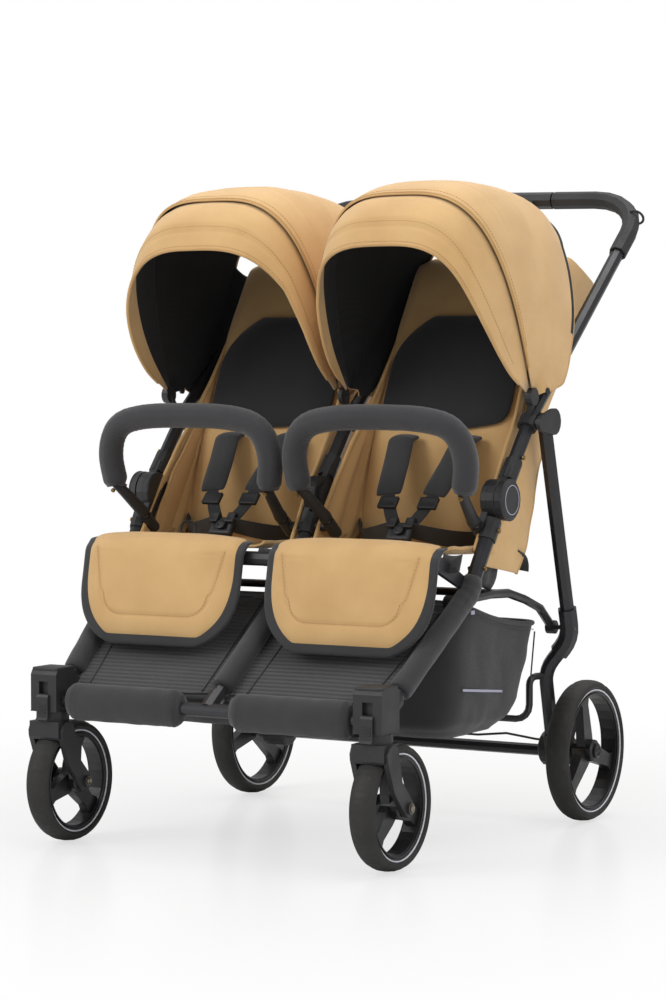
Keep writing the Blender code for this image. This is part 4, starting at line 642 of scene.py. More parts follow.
def canopySpot(side, u, v, hood, lift=0.0):
    first = canopy["start"]
    sweep = first + (math.pi - 2 * first) * u
    outward = math.cos(sweep)
    near = canopy["rear"] if hood else canopy["tuck"]
    far = canopy["join"] if hood else canopy["front"]
    power = canopy["power"]
    if hood:
        cheek = canopy["cheek"] if outward > 0 else canopy["innerCheek"]
        near = readLine(cheek, canopy["bows"][0][1] * math.sin(sweep) ** power)
    angle = near + (far - near) * v
    bowAngle = angle
    if not hood:
        edge = canopy["outerEdge"] if outward > 0 else canopy["innerEdge"]
        far = readLine(edge, canopy["visorBows"][-1][1] * math.sin(sweep) ** power)
        angle = near + (far - near) * v
    bow = readLine(canopy["bows"] if hood else canopy["visorBows"], bowAngle) + lift
    if hood:
        bow -= sum(canopy["seamDepth"] * dip(angle, seam, 0.55) for seam in canopy["seams"])
        bow += 0.0012 * math.sin(math.radians((angle - 54) * 9)) * math.sin(sweep)
    else:
        bow -= canopy["seamDepth"] * dip(bowAngle, 123.2, 0.45) * (0.4 + 0.6 * math.sin(sweep))
        bow += 0.0022 * dip(bowAngle, 117.5, 4.0) * math.sin(sweep)
    reach = max(bow * math.sin(sweep) ** power, canopy["knob"])
    width = canopy["half"] if hood else canopy["visorHalf"]
    if outward <= 0:
        width -= canopy["middleGap"] + canopy["postRoom"] * min(1.0, max(0.0, (46 - angle) / 10))
    x = (width + lift) * math.copysign(abs(outward) ** power, outward)
    turn = math.radians(180 - angle)
    spot = Vector((
        side * (canopy["x"] + x), canopy["hub"][0] - math.cos(turn) * reach,
        canopy["hub"][1] + math.sin(turn) * reach,
    ))
    calm = min(1.0, reach / 0.2) * min(1.0, 6 * v + 0.2, 6 * (1 - v) + 0.2)
    ruffle = rippled(spot, 9.0, side) + 0.5 * rippled((spot.x * 2.2, spot.y, spot.z), 16.0, side + 3)
    middle = Vector((side * canopy["x"], canopy["hub"][0], canopy["hub"][1] - 0.05))
    pull = -abs(ruffle) if abs(spot.x) > canopy["x"] + 0.12 or not hood else ruffle - 0.3
    return spot + (spot - middle).normalized() * canopy["ruffle"] * calm * pull


canopyMiddle = {side: (side * canopy["x"], 0.0, 0.72) for word, side in sides}
for word, side in sides:
    hood = sheetForm(
        "canopyHood_" + word, 72, 92, lambda u, v: canopySpot(side, u, v, True), canopy["cloth"],
        canopyMiddle[side], tanCloth, darkLiningAndPaintedShade,
    )
    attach(hood, "upper_frame")
    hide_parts("canopy_hood_" + word)
    visor = sheetForm(
        "canopyVisor_" + word, 72, 44, lambda u, v: canopySpot(side, u, v, False), canopy["cloth"],
        canopyMiddle[side], tanCloth, darkLiningAndPaintedShade, turned=0.42,
    )
    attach(visor, "visor_" + word)
    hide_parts("canopy_visor_" + word)

    # Rolled hems: front edge, the ridge over the join, the rear edge with its zip
    hems = (
        ("visorHem_", False, 1.0, 0.0030, 0.0, tanBinding, "visor_" + word),
        ("hoodRidge_", True, 0.985, 0.0021, 0.0010, tanBinding, "upper_frame"),
        ("hoodRearHem_", True, 0.0, 0.0024, 0.0, tanBinding, "upper_frame"),
    )
    for start, isHood, v, size, lift, finish, body in hems:
        path = [canopySpot(side, 0.012 + 0.976 * step / 90, v, isHood, lift) for step in range(91)]
        hem = tubeForm(start + word, even(path, 120), size, 8, finish)
        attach(hem, body)
    rows = (
        ("visorStitchFront_", False, 0.965), ("visorStitchBand_", False, 0.70), ("hoodStitchFront_", True, 0.955),
    )
    for start, isHood, v in rows:
        path = [canopySpot(side, 0.03 + 0.94 * step / 100, v, isHood, 0.0013) for step in range(101)]
        stitches = stitchForm(start + word, path, 0.0056, 0.0038, 0.00052, seamThread)
        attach(stitches, "upper_frame" if isHood else "visor_" + word)
    # The zip runs down the outer rear edge
    path = even([canopySpot(side, 0.10 + 0.36 * step / 40, 0.035, True, 0.0016) for step in range(41)], 70)
    tape = bandForm("hoodZip_" + word, path, 0.0075, 0.0012, (0, 1, 0.4), zipTape)
    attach(tape, "upper_frame")
    path = even([spot + (spot - Vector(canopyMiddle[side])).normalized() * 0.0008 for spot in path], 110)
    coil = stitchForm("hoodZipCoil_" + word, path, 0.0032, 0.0022, 0.0009, blackPlastic)
    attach(coil, "upper_frame")
print("canopies")

# Seat shells
seat = {
    "x": 0.171, "half": 0.1405, "inset": 0.0035,
    "front": [(-0.026, 0.494), (0.020, 0.660), (0.060, 0.750), (0.100, 0.840), (0.170, 0.950), (0.222, 0.962)],
    "rear": [(-0.016, 0.471), (0.071, 0.552), (0.150, 0.668), (0.225, 0.752), (0.318, 0.855), (0.350, 0.905)],
    "seam": 0.105,
}


def along(path, share):
    place = min(max(share, 0.0), 1.0) * (len(path) - 1)
    index = min(int(place), len(path) - 2)
    return Vector(path[index]).lerp(Vector(path[index + 1]), place - index)


def eased(path, share):
    step = 0.035
    return (along(path, share - step) + along(path, share) * 2 + along(path, share + step)) / 4


def acrossLine(path, share):
    way = (along(path, share + 0.02) - along(path, share - 0.02)).normalized()
    return Vector((-way.y, way.x))


def backSpot(side, u, v, layer):
    front = eased(seat["front"], v)
    rear = eased(seat["rear"], v)
    span = 2 * u - 1
    toward = (rear - front).normalized()
    depth = (rear - front).length
    spot = front if layer > 0 else rear
    if layer < 0:
        toward = -toward
    edge = max(0.0, (abs(span) - 0.80) / 0.20)
    pull = seat["inset"] + min(0.010 * edge ** 2 + (0.012 * span ** 2 if layer < 0 else 0.0), depth * 0.3)
    spot = spot + toward * pull
    return Vector((side * (seat["x"] + (seat["half"] - seat["inset"]) * span), spot.x, spot.y))


def backHeld(side):
    def held(spot):
        x = abs(spot.x - side * seat["x"])
        lines = [abs(x - seat["seam"]), abs(x - seat["half"] + 0.006)]
        low = 0.5 if abs(spot.z - 0.700) < 0.004 and x < seat["seam"] else 0
        return 1.0 if min(lines) < 0.0035 else low
    return held


insert = {"line": [(0.0267, 0.675), (0.050, 0.728), (0.078, 0.790), (0.108, 0.858)], "half": 0.1215, "depth": 0.017}


def insertSpot(side, u, v, layer):
    spot = eased(insert["line"], v)
    normal = acrossLine(insert["line"], v)
    span = 2 * u - 1
    rise = 2 * v - 1
    corner = (1 - 0.20 * abs(rise) ** 8) if rise < 0 else (1 - 0.56 * abs(rise) ** 2.6)
    half = insert["half"] * corner
    crown = (1 - abs(span) ** 4) * (1 - abs(rise) ** 6)
    depth = 0.0012 + (0.004 + (insert["depth"] - 0.004) * crown if layer > 0 else 0.0)
    shift = normal * depth
    sag = -0.010 * (1 - span ** 2) * max(0.0, -rise) ** 2
    return Vector((side * seat["x"] + half * span, spot.x + shift.x + sag * 0.4, spot.y + shift.y + sag))


def insertHeld(side):
    def held(spot):
        x = abs(spot.x - side * seat["x"])
        rise = (spot.z - 0.675) / 0.183
        curve = 0.040 + 0.022 * min(max(rise, 0), 1)
        border = insert["half"] * 0.97
        return 1.0 if abs(x - curve) < 0.0028 or x > border else 0
    return held


# Both seats are alike, so one of each pad is swollen and the other is its mirror copy
def mirrored(piece, name):
    twin = bpy.data.objects.new(name, piece.data.copy())
    scene.collection.objects.link(twin)
    twin.data.transform(Matrix.Scale(-1, 4, (1, 0, 0)))
    twin.data.flip_normals()
    return twin


backRight = padForm("seatBack_right", 56, 70, lambda u, v, layer: backSpot(1, u, v, layer), tanCloth)
swell(backRight, 0.007, backHeld(1), 4.0)
insertRight = padForm("headPillow_right", 56, 44, lambda u, v, layer: insertSpot(1, u, v, layer), insertCloth)
swell(insertRight, 0.008, insertHeld(1), 4.0)
print("seat pads swollen")
for word, side in sides:
    back = backRight if side > 0 else mirrored(backRight, "seatBack_left")
    pillow = insertRight if side > 0 else mirrored(insertRight, "headPillow_left")
    for piece, nodeName, fill in ((back, "backrest_", 0.4), (pillow, "head_insert_", 0.7)):
        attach(piece, "back_" + word)
        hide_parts(nodeName + word)

# Seat bottoms, the side walls up to the tubes and the cloth behind the side tubes
sling = {
    "inner": 0.0275, "outer": 0.3150, "bend": 0.020, "cloth": 0.0042,
    "bottom": [
        (-0.224, 0.4790), (-0.170, 0.4765), (-0.110, 0.4745), (-0.065, 0.4730), (-0.034, 0.4700), (-0.012, 0.476),
        (-0.002, 0.508),
    ],
    "edge": [
        (-0.224, 0.4860), (-0.150, 0.4840), (-0.110, 0.4860), (-0.065, 0.4890), (-0.030, 0.4960), (-0.008, 0.505),
        (0.002, 0.522),
    ],
    "wingHalf": 0.1490, "backHalf": 0.1350,
    "wingEdge": [
        (-0.148, 0.478, 0), (-0.118, 0.522, 0), (-0.078, 0.580, -0.001), (-0.030, 0.640, -0.004),
        (0.010, 0.684, -0.008),
        (0.052, 0.742, -0.014), (0.100, 0.812, -0.020),
    ],
    "wingBack": [
        (-0.044, 0.476), (-0.014, 0.500), (0.010, 0.560), (0.030, 0.625), (0.052, 0.690), (0.090, 0.765),
        (0.140, 0.866),
    ],
    "sideFront": [(-0.118, 0.452), (-0.104, 0.515), (-0.056, 0.592), (0.004, 0.662), (0.060, 0.722)],
    "sideRear": [(0.006, 0.433), (0.050, 0.478), (0.078, 0.555), (0.106, 0.612), (0.150, 0.665)], "sideX": 0.3165,
}


def slingSpot(side, u, v):
    low = eased(sling["bottom"], v)
    high = eased(sling["edge"], v)
    span = 2 * u - 1
    half = (sling["outer"] - sling["inner"]) / 2
    middle = (sling["outer"] + sling["inner"]) / 2
    sign = 1 if span >= 0 else -1
    if abs(span) < 0.5:
        share = abs(span) / 0.5
        x = share * (half - sling["bend"]) * sign
        spot = Vector((side * (middle + x), low.x, low.y - 0.003 * (1 - share ** 2)))
    else:
        share = (abs(span) - 0.5) / 0.5
        bend = min(1.0, share / 0.4) * math.pi / 2
        reach = half - sling["bend"] + sling["bend"] * math.sin(bend)
        height = (high - low).length
        lift = min(sling["bend"] * (1 - math.cos(bend)), height * min(1.0, share / 0.4))
        rest = max(0.0, (share - 0.4) / 0.6)
        climb = lift / max(height, 1e-6)
        place = low.lerp(high, climb + (1 - climb) * rest)
        spot = Vector((side * (middle + reach * sign), place.x, place.y))
    wave = 0.0016 * rippled((spot.x, spot.y * 1.6, spot.z), 22.0, side)
    return spot + Vector((0, 0, wave))


def pocketSpot(side, u, v, layer):
    front = Vector((-0.120, 0.452)).lerp(Vector((-0.094, 0.424)), v)
    rear = Vector((-0.014, 0.462)).lerp(Vector((-0.050, 0.408)), v)
    spot = front.lerp(rear, u)
    crown = math.sin(math.pi * u) ** 0.5 * math.sin(math.pi * v) ** 0.5
    x = 0.296 + layer * (0.002 + 0.012 * crown) + 0.004 * rippled((spot.x, spot.y, layer), 38.0, side)
    return Vector((side * x, spot.x, spot.y))


for word, side in sides:
    shell = sheetForm(
        "seatSling_" + word, 56, 34, lambda u, v: slingSpot(side, u, v), sling["cloth"],
        (side * 0.171, -0.12, 0.60), tanCloth, tanCloth,
    )
    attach(shell, "front_frame")
    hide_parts("seat_sling_" + word)
    for start, u in (("seatWeltOuter_", 1.0), ("seatWeltInner_", 0.0)):
        welt = tubeForm(
            start + word, even([slingSpot(side, u, step / 40) for step in range(41)], 70), 0.0034, 8, tanBinding,
        )
        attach(welt, "front_frame")


def wingSpot(side, turn, u, v):
    y, z, tuck = along(sling["wingEdge"], v)
    rear = eased(sling["wingBack"], v)
    fold = math.sin(math.pi * u)
    x = (sling["wingHalf"] + tuck) * (1 - u) + sling["backHalf"] * u
    x += 0.006 * fold * (1 - 0.4 * v) + 0.0035 * math.sin(u * 4.6 * math.pi + 1.2 * v) * fold
    x += 0.0030 * rippled((u * 0.09, v * 0.12, side * turn), 30.0, side + turn)
    y = y * (1 - u) + rear.x * u + 0.010 * fold
    z = z * (1 - u) + rear.y * u - 0.006 * fold
    return Vector((side * (seat["x"] + turn * x), y, z))


def sidePanelSpot(side, u, v):
    front = eased(sling["sideFront"], v)
    rear = eased(sling["sideRear"], v)
    spot = front.lerp(rear, u)
    bulge = 0.004 * math.sin(math.pi * u) + 0.0026 * rippled((spot.x * 1.5, spot.y, side), 17.0, side + 8)
    return Vector((side * (sling["sideX"] + bulge - 0.010 * v), spot.x, spot.y))


# The side walls between these places, with their welts, stitches and side panels
for word, side in sides:
    made = []
    for tag, turn in (("Outer", 1), ("Inner", -1)):
        wing = sheetForm(
            "seatWing" + tag + "_" + word, 40, 60, lambda u, v: wingSpot(side, turn, u, v), 0.0030,
            (side * (seat["x"] + turn * 0.3), -0.1, 0.62), tanCloth, tanCloth,
        )
        edge = [wingSpot(side, turn, 0.0, step / 50) for step in range(51)]
        welt = tubeForm("wingWelt" + tag + "_" + word, even(edge, 80), 0.0036, 8, tanBinding)
        path = [wingSpot(side, turn, 0.055, step / 50) - Vector((side * turn * 0.0020, 0, 0)) for step in range(51)]
        stitches = stitchForm("wingStitch" + tag + "_" + word, path, 0.0058, 0.0038, 0.0005, seamThread)
        made += [wing, welt, stitches]
    panelPiece = sheetForm(
        "seatSide_" + word, 34, 50, lambda u, v: sidePanelSpot(side, u, v), 0.0030,
        (side * 0.1, -0.02, 0.58), tanCloth, tanCloth,
    )
    made.append(panelPiece)
    for step, u in enumerate((0.0, 1.0)):
        path = even([sidePanelSpot(side, u, k / 40) for k in range(41)], 60)
        made.append(tubeForm("seatSideWelt" + "AB"[step] + "_" + word, path, 0.0030, 8, tanBinding))
    for piece in made:
        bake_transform(piece)
    # The black cloth gathered under the seat side, with a tail of webbing
    lump = padForm("seatPocket_" + word, 16, 14, lambda u, v, layer: pocketSpot(side, u, v, layer), blackCloth)
    soften(lump, 1)
    tail = bandForm("seatStrapTail_" + word, smoothLine([
        (side * 0.3120, 0.010, 0.470), (side * 0.3150, 0.030, 0.462), (side * 0.3110, 0.046, 0.448),
        (side * 0.3060, 0.055, 0.436),
    ], 16), 0.018, 0.0016, (1, 0, 0.2), webbing)
    for piece in (lump, tail):
        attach(piece, "front_frame")

# Cloth that closes the canopy's rear sides, from the hood's edge to the backrest's
curtain = {
    "first": 0.012, "reach": 0.215, "inner": 0.1330,
    "line": [(0.046, 0.708), (0.076, 0.770), (0.118, 0.850), (0.172, 0.938)],
}


def curtainSpot(side, turn, u, v):
    share = curtain["first"] + curtain["reach"] * v
    start = canopySpot(side, share if turn > 0 else 1 - share, 0.02, True)
    y, z = eased(curtain["line"], v)
    end = Vector((side * (seat["x"] + turn * curtain["inner"]), y + 0.012, z))
    fall = Vector((0, 0.010, -0.010)) * math.sin(math.pi * u)
    slack = fall + Vector((0, 0.004, 0)) * rippled((u * 0.1, v * 0.2, turn), 25.0, side)
    return start.lerp(end, u) + slack


for word, side in sides:
    for tag, turn in (("Outer", 1), ("Inner", -1)):
        # Each curtain's inner face looks forward into the hood and is painted near-black as shade; the cloth there is
        # tan in shadow
        piece = sheetForm(
            "hoodCurtain" + tag + "_" + word, 16, 40, lambda u, v: curtainSpot(side, turn, u, v), 0.0020,
            (side * 0.178, -0.3, 0.85), tanCloth, darkLiningAndPaintedShade,
        )
        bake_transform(piece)
print("seats")

# Legrests: a tan pad with a sewn channel on a black backing
legrest = {
    "x": 0.178, "half": 0.155, "backDepth": 0.011, "padDepth": 0.0095,
    "line": [(-0.256, 0.4885), (-0.272, 0.487), (-0.288, 0.472), (-0.296, 0.430), (-0.310, 0.370), (-0.3265, 0.318)],
    "channelTop": 0.126, "channelLow": 0.100, "channelZ": 0.369, "channelRise": 0.11, "channelRound": 0.034,
    "seamWidth": 0.0030, "seamDepth": 0.0016, "seamTop": 0.476,
}


def legrestSpot(side, u, v, layer, isPad):
    spot = eased(legrest["line"], v * (0.945 if isPad else 1.0))
    normal = acrossLine(legrest["line"], v * (0.945 if isPad else 1.0))
    span = 2 * u - 1
    if isPad:
        late = max(0.0, (v - 0.58) / 0.42)
        half = 0.1440 * math.sqrt(1 - (0.80 * late ** 1.3) ** 2)
    else:
        late = max(0.0, (v - 0.62) / 0.38)
        half = legrest["half"] * math.sqrt(1 - (0.85 * late ** 1.2) ** 2)
    edge = max(abs(span) ** 8, late ** 8)
    if layer > 0:
        depth = -(0.001 + (legrest["padDepth"] if isPad else 0.0025) * (1 - edge) * min(1.0, 0.55 + 2 * v))
    else:
        depth = 0.0015 if isPad else legrest["backDepth"] * (1 - 0.6 * edge) * min(1.0, 0.3 + 3 * v)
    shift = normal * depth
    return Vector((side * legrest["x"] + half * span, spot.x + shift.x, spot.y + shift.y))


def channelAway(spot, side):
    x = abs(spot[0] - side * legrest["x"])
    low = legrest["channelZ"]
    curve = legrest["channelRound"]
    spread = legrest["channelTop"] - legrest["channelLow"]
    wall = legrest["channelLow"] + spread * min(1.0, max(0.0, (spot[2] - low) / legrest["channelRise"]))
    if spot[2] > low + curve:
        return abs(x - wall)
    if x < wall - curve:
        return abs(spot[2] - low)
    return abs(math.hypot(x - wall + curve, spot[2] - low - curve) - curve)


def legrestHeld(side):
    line = sorted((z, y) for y, z in legrest["line"])

    def held(spot):
        if spot.z < 0.480 and spot.y > readLine(line, spot.z) + 0.0012:
            return 1.0
        return 1.0 if channelAway(spot, side) < 0.0028 and spot.z < 0.470 else 0
    return held


# Cloth gathered by a seam: short ridges across it that fade with distance
def pucker(piece, away, pitch, depth, reach):
    for vert in piece.data.vertices:
        gap = away(vert.co)
        if gap < reach * 3:
            wave = math.sin((vert.co.x * 0.8 + vert.co.z + 0.3 * vert.co.y) * 2 * math.pi / pitch)
            wave += 0.6 * rippled(vert.co, 1.2 / pitch)
            vert.co += vert.normal * depth * wave * math.exp(-(gap / reach) ** 2)


padRight = padForm("legrestPad_right", 64, 56, lambda u, v, layer: legrestSpot(1, u, v, layer, True), tanCloth)
swell(padRight, 0.006, legrestHeld(1), 4.0)
pucker(
    padRight, lambda spot: abs(spot.z - legrest["channelZ"]) if abs(spot.x - legrest["x"]) < 0.075 else 1.0, 0.0075,
    0.0004, 0.0055,
)
# The channel's seam is drawn in and stitched
for vert in padRight.data.vertices:
    gap = channelAway(vert.co, 1)
    if gap < 3 * legrest["seamWidth"] and vert.co.z < legrest["seamTop"]:
        vert.co -= vert.normal * legrest["seamDepth"] * dip(gap, 0, legrest["seamWidth"])


def frontOf(piece, x, z):
    near = [vert.co for vert in piece.data.vertices if abs(vert.co.x - x) < 0.004 and abs(vert.co.z - z) < 0.004]
    return Vector((x, min(spot.y for spot in near), z))


def channelLine():
    low, curve = legrest["channelZ"], legrest["channelRound"]
    half = legrest["channelLow"]
    spread = legrest["channelTop"] - half
    line = []
    for step in range(10):
        z = legrest["seamTop"] + (low + curve - legrest["seamTop"]) * step / 10
        line.append((half + spread * min(1.0, (z - low) / legrest["channelRise"]), z))
    for step in range(9):
        angle = math.pi / 2 * step / 8
        line.append((half - curve + curve * math.cos(angle), low + curve - curve * math.sin(angle)))
    return line + [(-x, z) for x, z in reversed(line)]


path = [frontOf(padRight, legrest["x"] + x, z) - Vector((0, 0.0004, 0)) for x, z in channelLine()]
channelRight = stitchForm("legrestStitch_right", path, 0.0062, 0.0042, 0.0005, seamThread)
backingRight = padForm(
    "legrestBacking_right", 52, 44, lambda u, v, layer: legrestSpot(1, u, v, layer, False), blackCloth,
)
soften(backingRight, 1)
for word, side in sides:
    pad = padRight if side > 0 else mirrored(padRight, "legrestPad_left")
    backing = backingRight if side > 0 else mirrored(backingRight, "legrestBacking_left")
    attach(channelRight if side > 0 else mirrored(channelRight, "legrestStitch_left"), "legrest_body_" + word)
    for piece, fill in ((pad, 0.6), (backing, 0.4)):
        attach(piece, "legrest_body_" + word)
        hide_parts("legrest_" + word)
print("legrests")


# Small hard parts made by hand: block, ring, rivet
def ready(name):
    piece = bpy.context.active_object
    piece.name = name
    piece.data.name = name
    return piece


def settle(piece, spot, turn=None):
    place = Matrix.Translation(Vector(spot))
    if turn is not None:
        place = place @ turn.to_matrix().to_4x4()
    piece.data.transform(place)
    piece.location = (0, 0, 0)
    piece.rotation_euler = (0, 0, 0)
    only(piece)
    bpy.ops.object.shade_smooth_by_angle(angle=math.radians(40))
    return piece


def block(name, spot, size, bevel, turn, finish, inset=0.0):
    bpy.ops.object.select_all(action="DESELECT")
    bpy.ops.mesh.primitive_cube_add(size=1)
    piece = ready(name)
    bpy.ops.object.mode_set(mode="EDIT")
    bpy.ops.transform.resize(value=size)
    bpy.ops.mesh.bevel(offset=bevel, segments=3, affect="EDGES")
    bpy.ops.object.mode_set(mode="OBJECT")
    if inset:
        top = max(piece.data.polygons, key=lambda face: (round(face.normal.z, 3), face.area)).index
        for face in piece.data.polygons:
            face.select = face.index == top
        bpy.ops.object.mode_set(mode="EDIT")
        bpy.ops.mesh.select_mode(type="FACE")
        bpy.ops.mesh.inset(thickness=inset)
        bpy.ops.transform.translate(value=(0, 0, -inset * 0.4))
        bpy.ops.object.mode_set(mode="OBJECT")
    paint(piece, finish)
    return settle(piece, spot, turn)


def ring(name, spot, major, minor, way, finish):
    bpy.ops.object.select_all(action="DESELECT")
    bpy.ops.mesh.primitive_torus_add(major_radius=major, minor_radius=minor, major_segments=96, minor_segments=10)
    piece = ready(name)
    paint(piece, finish)
    return settle(piece, spot, Vector((0, 0, 1)).rotation_difference(Vector(way)))


def rivet(name, spot, way, radius, height, finish, corners=24):
    bpy.ops.object.select_all(action="DESELECT")
    bpy.ops.mesh.primitive_cylinder_add(vertices=corners, radius=radius, depth=height)
    piece = ready(name)
    top = max(piece.data.polygons, key=lambda face: face.normal.z).index
    for face in piece.data.polygons:
        face.select = face.index == top
    bpy.ops.object.mode_set(mode="EDIT")
    bpy.ops.mesh.select_mode(type="FACE")
    bpy.ops.mesh.inset(thickness=radius * 0.28)
    bpy.ops.transform.translate(value=(0, 0, height * 0.22))
    bpy.ops.mesh.inset(thickness=radius * 0.22)
    bpy.ops.transform.translate(value=(0, 0, -height * 0.40))
    bpy.ops.object.mode_set(mode="OBJECT")
    paint(piece, finish)
    return settle(piece, spot, Vector((0, 0, 1)).rotation_difference(Vector(way)))


# Harness: shoulder pads, webbing, adjusters and buckle
harness = {
    "pad": [(0.059, 0.0128, 0.655), (0.059, -0.010, 0.650), (0.052, -0.040, 0.612), (0.042, -0.085, 0.562)],
    "padHalf": 0.0235, "padDepth": 0.0070, "buckle": (-0.116, 0.503), "strap": 0.022, "waist": 0.032,
    "strapDepth": 0.0016,
}


def shoulderSpot(middle, turn, u, v, layer):
    line = [Vector((middle + turn * x, y, z)) for x, y, z in harness["pad"]]
    share = v * 3
    index = min(int(share), 2)
    spot = line[index].lerp(line[index + 1], share - index)
    way = (line[min(index + 1, 3)] - line[index]).normalized()
    across = (Vector((1, 0, 0)) - way * way.x).normalized()
    over = across.cross(way)
    span = 2 * u - 1
    rise = 2 * v - 1
    crown = (1 - abs(span) ** 3) * (1 - abs(rise) ** 10)
    half = harness["padHalf"] * (1 - 0.10 * abs(rise) ** 16)
    return spot + across * half * span + over * layer * (0.0022 + (harness["padDepth"] - 0.0022) * crown)


for word, side in sides:
    middle = side * seat["x"]
    body = "back_" + word
    buckle = Vector((middle, *harness["buckle"]))
    made = []
    for tag, turn in (("A", -1), ("B", 1)):
        pad = padForm(
            "shoulderPad" + tag + "_" + word, 10, 30, lambda u, v, layer: shoulderSpot(middle, turn, u, v, layer),
            blackCloth,
        )
        soften(pad, 1)
        made.append(pad)
        for edge in (0.10, 0.90):
            path = [shoulderSpot(middle, turn, edge, 0.04 + 0.92 * step / 24, 1) for step in range(25)]
            made.append(stitchForm(
                "padStitch" + tag + str(int(edge * 10)) + "_" + word, path, 0.0052, 0.0034, 0.0005, blackThread,
            ))
        low = Vector((middle + turn * 0.042, -0.085, 0.562))
        path = smoothLine([
            low + Vector((0, 0.012, 0.014)), low, Vector((middle + turn * 0.030, -0.100, 0.535)),
            buckle + Vector((turn * 0.014, 0.002, 0.010)),
        ], 24)
        made.append(bandForm(
            "shoulderStrap" + tag + "_" + word, path, harness["strap"], harness["strapDepth"], (1, 0, 0), webbing,
        ))
        path = smoothLine([
            buckle + Vector((turn * 0.016, 0.002, 0.004)), Vector((middle + turn * 0.055, -0.098, 0.497)),
            Vector((middle + turn * 0.095, -0.065, 0.489)), Vector((middle + turn * 0.128, -0.028, 0.494)),
            Vector((middle + turn * 0.132, -0.012, 0.508)),
        ], 34)
        made.append(bandForm(
            "waistStrap" + tag + "_" + word, path, harness["waist"], harness["strapDepth"], (0, -0.55, 0.8), webbing,
        ))
        tilt = Vector((0, 0, 1)).rotation_difference(Vector((0, -0.74, 0.67)))
        made.append(block(
            "strapSlider" + tag + "_" + word, Vector((middle + turn * 0.037, -0.0930, 0.5500)),
            (0.034, 0.023, 0.007), 0.0016,
            tilt, blackPlastic, 0.003,
        ))
        made.append(block(
            "buckleTongue" + tag + "_" + word, buckle + Vector((turn * 0.016, -0.001, 0.016)),
            (0.016, 0.020, 0.006), 0.0016,
            tilt, blackPlastic, 0.0025,
        ))
    tilt = Vector((0, 0, 1)).rotation_difference(Vector((0, -0.80, 0.60)))
    made.append(block(
        "buckleBody_" + word, buckle + Vector((0, -0.002, 0.0)), (0.044, 0.034, 0.013), 0.004, tilt, blackPlastic,
        0.006,
    ))
    made.append(rivet(
        "buckleButton_" + word, buckle + Vector((0, -0.0085, 0.0048)), (0, -0.80, 0.60), 0.0085, 0.004, blackPlastic,
        32,
    ))
    path = smoothLine(
        [buckle + Vector((0, 0, -0.006)), Vector((middle, -0.121, 0.492)), Vector((middle, -0.128, 0.4805))], 14,
    )
    made.append(bandForm("crotchStrap_" + word, path, 0.026, 0.0022, (1, 0, 0), webbing))
    for piece in made:
        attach(piece, body)
        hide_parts("harness_" + word)
loop = ring("seatRing_left", (-0.233, -0.130, 0.500), 0.0125, 0.0019, (0.45, -0.75, 0.30), blackPlastic)
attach(loop, "front_frame")
print("harness")

# Bumper bars: sewn cover over foam, flat arms and pins
bumper = {
    "x": 0.180, "arm": 0.137, "radius": 0.0205,
    "line": [
        (-0.150, -0.200, 0.573), (-0.160, -0.207, 0.628), (-0.140, -0.213, 0.676), (-0.085, -0.216, 0.690),
        (0.0, -0.217, 0.692),
        (0.085, -0.216, 0.690), (0.140, -0.213, 0.676), (0.160, -0.207, 0.628), (0.150, -0.200, 0.573),
    ],
}


def socketSpot(x, distance):
    return Vector((x, -0.120 - 0.7762 * distance, 0.508 + 0.6305 * distance))


def foamSize(side):
    def size(share, angle):
        corner = dip(share, 0.24, 0.10) + dip(share, 0.76, 0.10)
        inner = 0.5 + 0.5 * math.cos(angle - 0.6)
        fold = math.sin(share * 2 * math.pi * 44 + 1.5 * math.sin(angle * 2)) * (0.018 * corner + 0.005) * inner
        swellShare = 0.014 * noise.noise(Vector((share * 26, math.cos(angle) * 1.3, math.sin(angle) * 1.3 + side)))
        gather = 1 - 0.22 * (dip(share, 0.0, 0.012) + dip(share, 1.0, 0.012)) - 0.05 * dip(angle, 3.6, 0.12)
        return bumper["radius"] * (gather + fold + swellShare)
    return size


for word, side in sides:
    middle = side * bumper["x"]
    path = smoothLine([Vector((middle + x, y, z)) for x, y, z in bumper["line"]], 300)
    cover = tubeForm("bumperCover_" + word, path, foamSize(side), 32, bumperCloth)
    made = [cover]
    for tag, turn in (("A", -1), ("B", 1)):
        armX = middle + turn * bumper["arm"]
        end = Vector((middle + turn * 0.150, -0.200, 0.573))
        arm = tubeForm(
            "bumperArm" + tag + "_" + word,
            even(
                [
                    socketSpot(armX, 0.0215), socketSpot(armX, 0.034), end.lerp(socketSpot(armX, 0.06), 0.5),
                    end + Vector((0, -0.009, 0.008)),
                ],
                30,
            ),
            lambda share, angle: 0.0093 * (1.12 - 0.24 * share + 0.10 * dip(share, 0.08, 0.06)), 20,
            blackPlastic, flat=0.78,
        )
        pin = tubeForm(
            "bumperPin" + tag + "_" + word, [socketSpot(armX, -0.016), socketSpot(armX, 0.030)], 0.0057, 20,
            boltSteel,
        )
        made += [arm, pin]
        made.append(rivet(
            "bumperRivet" + tag + "_" + word, end + Vector((0, -0.0105, -0.0085)), (0.0, -0.85, -0.52), 0.0036, 0.003,
            rivetBrass,
        ))
        made.append(ring(
            "bumperCollar" + tag + "_" + word, end + Vector((0, 0.002, 0.001)), 0.0145, 0.0022, (0.0, 0.12, 1.0),
            bumperCloth,
        ))
    for piece in made:
        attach(piece, "bumper_" + word)
        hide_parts("bumper_bar_" + word)
print("bumper bars")

